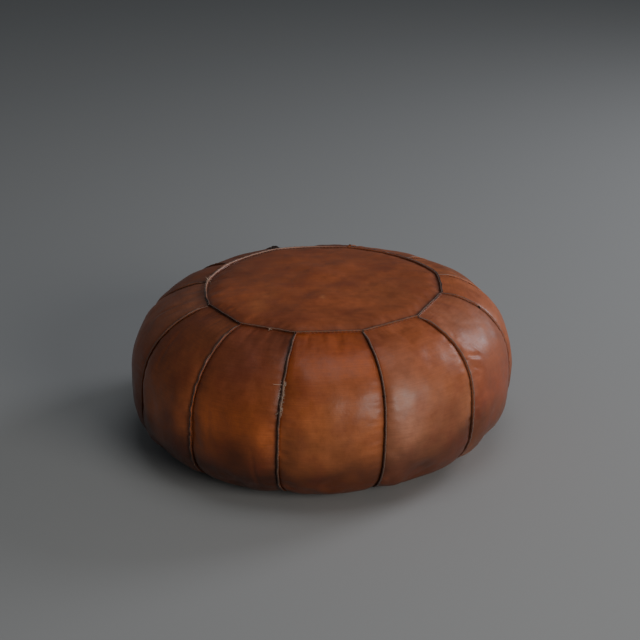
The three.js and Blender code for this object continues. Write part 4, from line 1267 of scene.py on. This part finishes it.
def turnedGrid(radius, height):
    turns = np.arange(inside["columns"]) * 2 * math.pi / inside["columns"]
    return np.stack([
        middle.x + radius[:, None] * np.cos(turns), middle.y + radius[:, None] * np.sin(turns),
        np.broadcast_to(height[:, None], (len(radius), len(turns)))], -1)


def turnedFaces(rows):
    columns = inside["columns"]
    loops = np.arange(rows * columns).reshape(rows, columns)
    return [loopFaces(a, b) for a, b in zip(loops, loops[1:])], loops


def allFaces(rings, caps):
    return [face.tolist() for ring in rings for face in ring] + caps


def linerBag():
    # a calico bag, its seams radiating over the top, drawn in to a tied mouth underneath
    layers = []
    gap, floor, mouth = inside["linerGap"], inside["linerFloor"], inside["mouth"]
    for extra in (0.0, inside["linerThickness"]):
        radius, height = innerProfile(gap + extra, floor + extra, mouth)
        grid = turnedGrid(radius, height)
        turn = np.arctan2(grid[..., 1] - middle.y, grid[..., 0] - middle.x)
        under = (np.arange(len(radius)) >= len(radius) - inside["floorRows"])[:, None]
        folds = np.sin(turn * 22 + 2 * np.sin(turn * 3)) * bell(radius[:, None] - mouth, 60 * mm) * under
        seams = bell(np.sin(turn * 3), 0.05) * 0.9 * mm
        creasing = waves(grid, 70 * mm, 55) * mm
        grid[..., 2] += folds * 1.3 * mm + under * 1.4 * mm
        grid[..., 2] -= (1 - under) * (seams * 0.6 + 1.2 * mm + creasing * 0.5)
        layers.append(grid)
    faces, loops = turnedFaces(len(layers[0]))
    total = layers[0].shape[0] * layers[0].shape[1]
    faces += [face[:, ::-1] + total for face in faces]
    faces += [loopFaces(loops[-1], loops[-1] + total)[:, ::-1]]
    points = np.concatenate([part.reshape(-1, 3) for part in layers])
    caps = [loops[0].tolist(), (loops[0][::-1] + total).tolist()]
    body = meshObject("calico_bag", points, allFaces(faces, caps), [calico])
    handIn(body, ["liner_bag"])


def stuffingMass():
    radius, height = innerProfile(inside["stuffingGap"], inside["linerFloor"] + 3 * mm, 1 * mm)
    grid = turnedGrid(radius, height)
    lumps = 2.2 * waves(grid, 42 * mm, 57) + 1.0 * waves(grid, 17 * mm, 58)
    centre = np.array([middle.x, middle.y, 0.13])
    away = grid - centre
    away /= np.linalg.norm(away, axis=-1, keepdims=True)
    grid = grid - away * np.clip(2.6 - lumps, 0, 6)[..., None] * mm
    faces, loops = turnedFaces(len(grid))
    caps = [loops[0].tolist(), loops[-1][::-1].tolist()]
    body = meshObject("cotton_wadding", grid.reshape(-1, 3), allFaces(faces, caps), [wadding])
    handIn(body, ["stuffing"])


linerBag()
stuffingMass()
print("bag and stuffing made")


studio = {
    "floor": "#a9a9a7",
    "room": ("#9aa0a6", 0.235),
    # softboxes: aimed from azimuth and elevation in degrees, distance, size (m), power (W) and colour
    "window": (-51, 18, 4.2, (2.6, 1.8), 76, "#fbf8f4"),
    "sideWindow": (26, 27, 3.6, (1.2, 1.5), 36, "#f2f5ff"),
    "skylight": (-40, 78, 3.8, (2.6, 2.6), 24, "#f0f3f8"),
}


def stage():
    bpy.ops.mesh.primitive_circle_add(vertices=96, radius=20, fill_type="NGON", location=(0, 0, 0))
    floor = bpy.context.object
    floor.name = "floor"
    material, tree, shader = newMaterial("pale_screed")
    shader.inputs["Base Color"].default_value = linear(studio["floor"])
    shader.inputs["Roughness"].default_value = 0.85
    floor.data.materials.append(material)
    for name in ("window", "sideWindow", "skylight"):
        azimuth, elevation, distance, (width, tall), power, colour = studio[name]
        light = bpy.data.lights.new(name, "AREA")
        light.shape = "ELLIPSE"
        light.size, light.size_y = width, tall
        light.energy = power
        light.color = linear(colour)[:3]
        lamp = bpy.data.objects.new(name, light)
        turn, rise = math.radians(azimuth), math.radians(elevation)
        aim = Vector((math.cos(turn) * math.cos(rise), math.sin(turn) * math.cos(rise), math.sin(rise)))
        lamp.location = Vector((0, 0, 0.15)) + aim * distance
        lamp.rotation_euler = aim.to_track_quat("Z", "Y").to_euler()
        scene.collection.objects.link(lamp)
    world = bpy.data.worlds.new("room")
    scene.world = world
    world.use_nodes = True
    colour, strength = studio["room"]
    background = world.node_tree.nodes["Background"]
    background.inputs["Color"].default_value = linear(colour)
    background.inputs["Strength"].default_value = strength


camera = {
    "lens": 85,
    "place": (0, -2.5737, 1.2755),
    "elevation": -22.39,  # degrees, looking down at the pouf
    "yaw": 0.04,
    "roll": -1.31,  # held slightly askew
}


def makeCamera():
    lens = bpy.data.cameras.new("camera")
    lens.lens = camera["lens"]
    eye = bpy.data.objects.new("camera", lens)
    eye.location = camera["place"]
    eye.rotation_mode = "XYZ"
    turned = (Matrix.Rotation(math.radians(camera["yaw"]), 3, "Z")
              @ Matrix.Rotation(math.radians(90 + camera["elevation"]), 3, "X")
              @ Matrix.Rotation(math.radians(camera["roll"]), 3, "Z"))
    eye.rotation_euler = turned.to_euler()
    scene.collection.objects.link(eye)
    scene.camera = eye


stage()
makeCamera()
print("stage set")
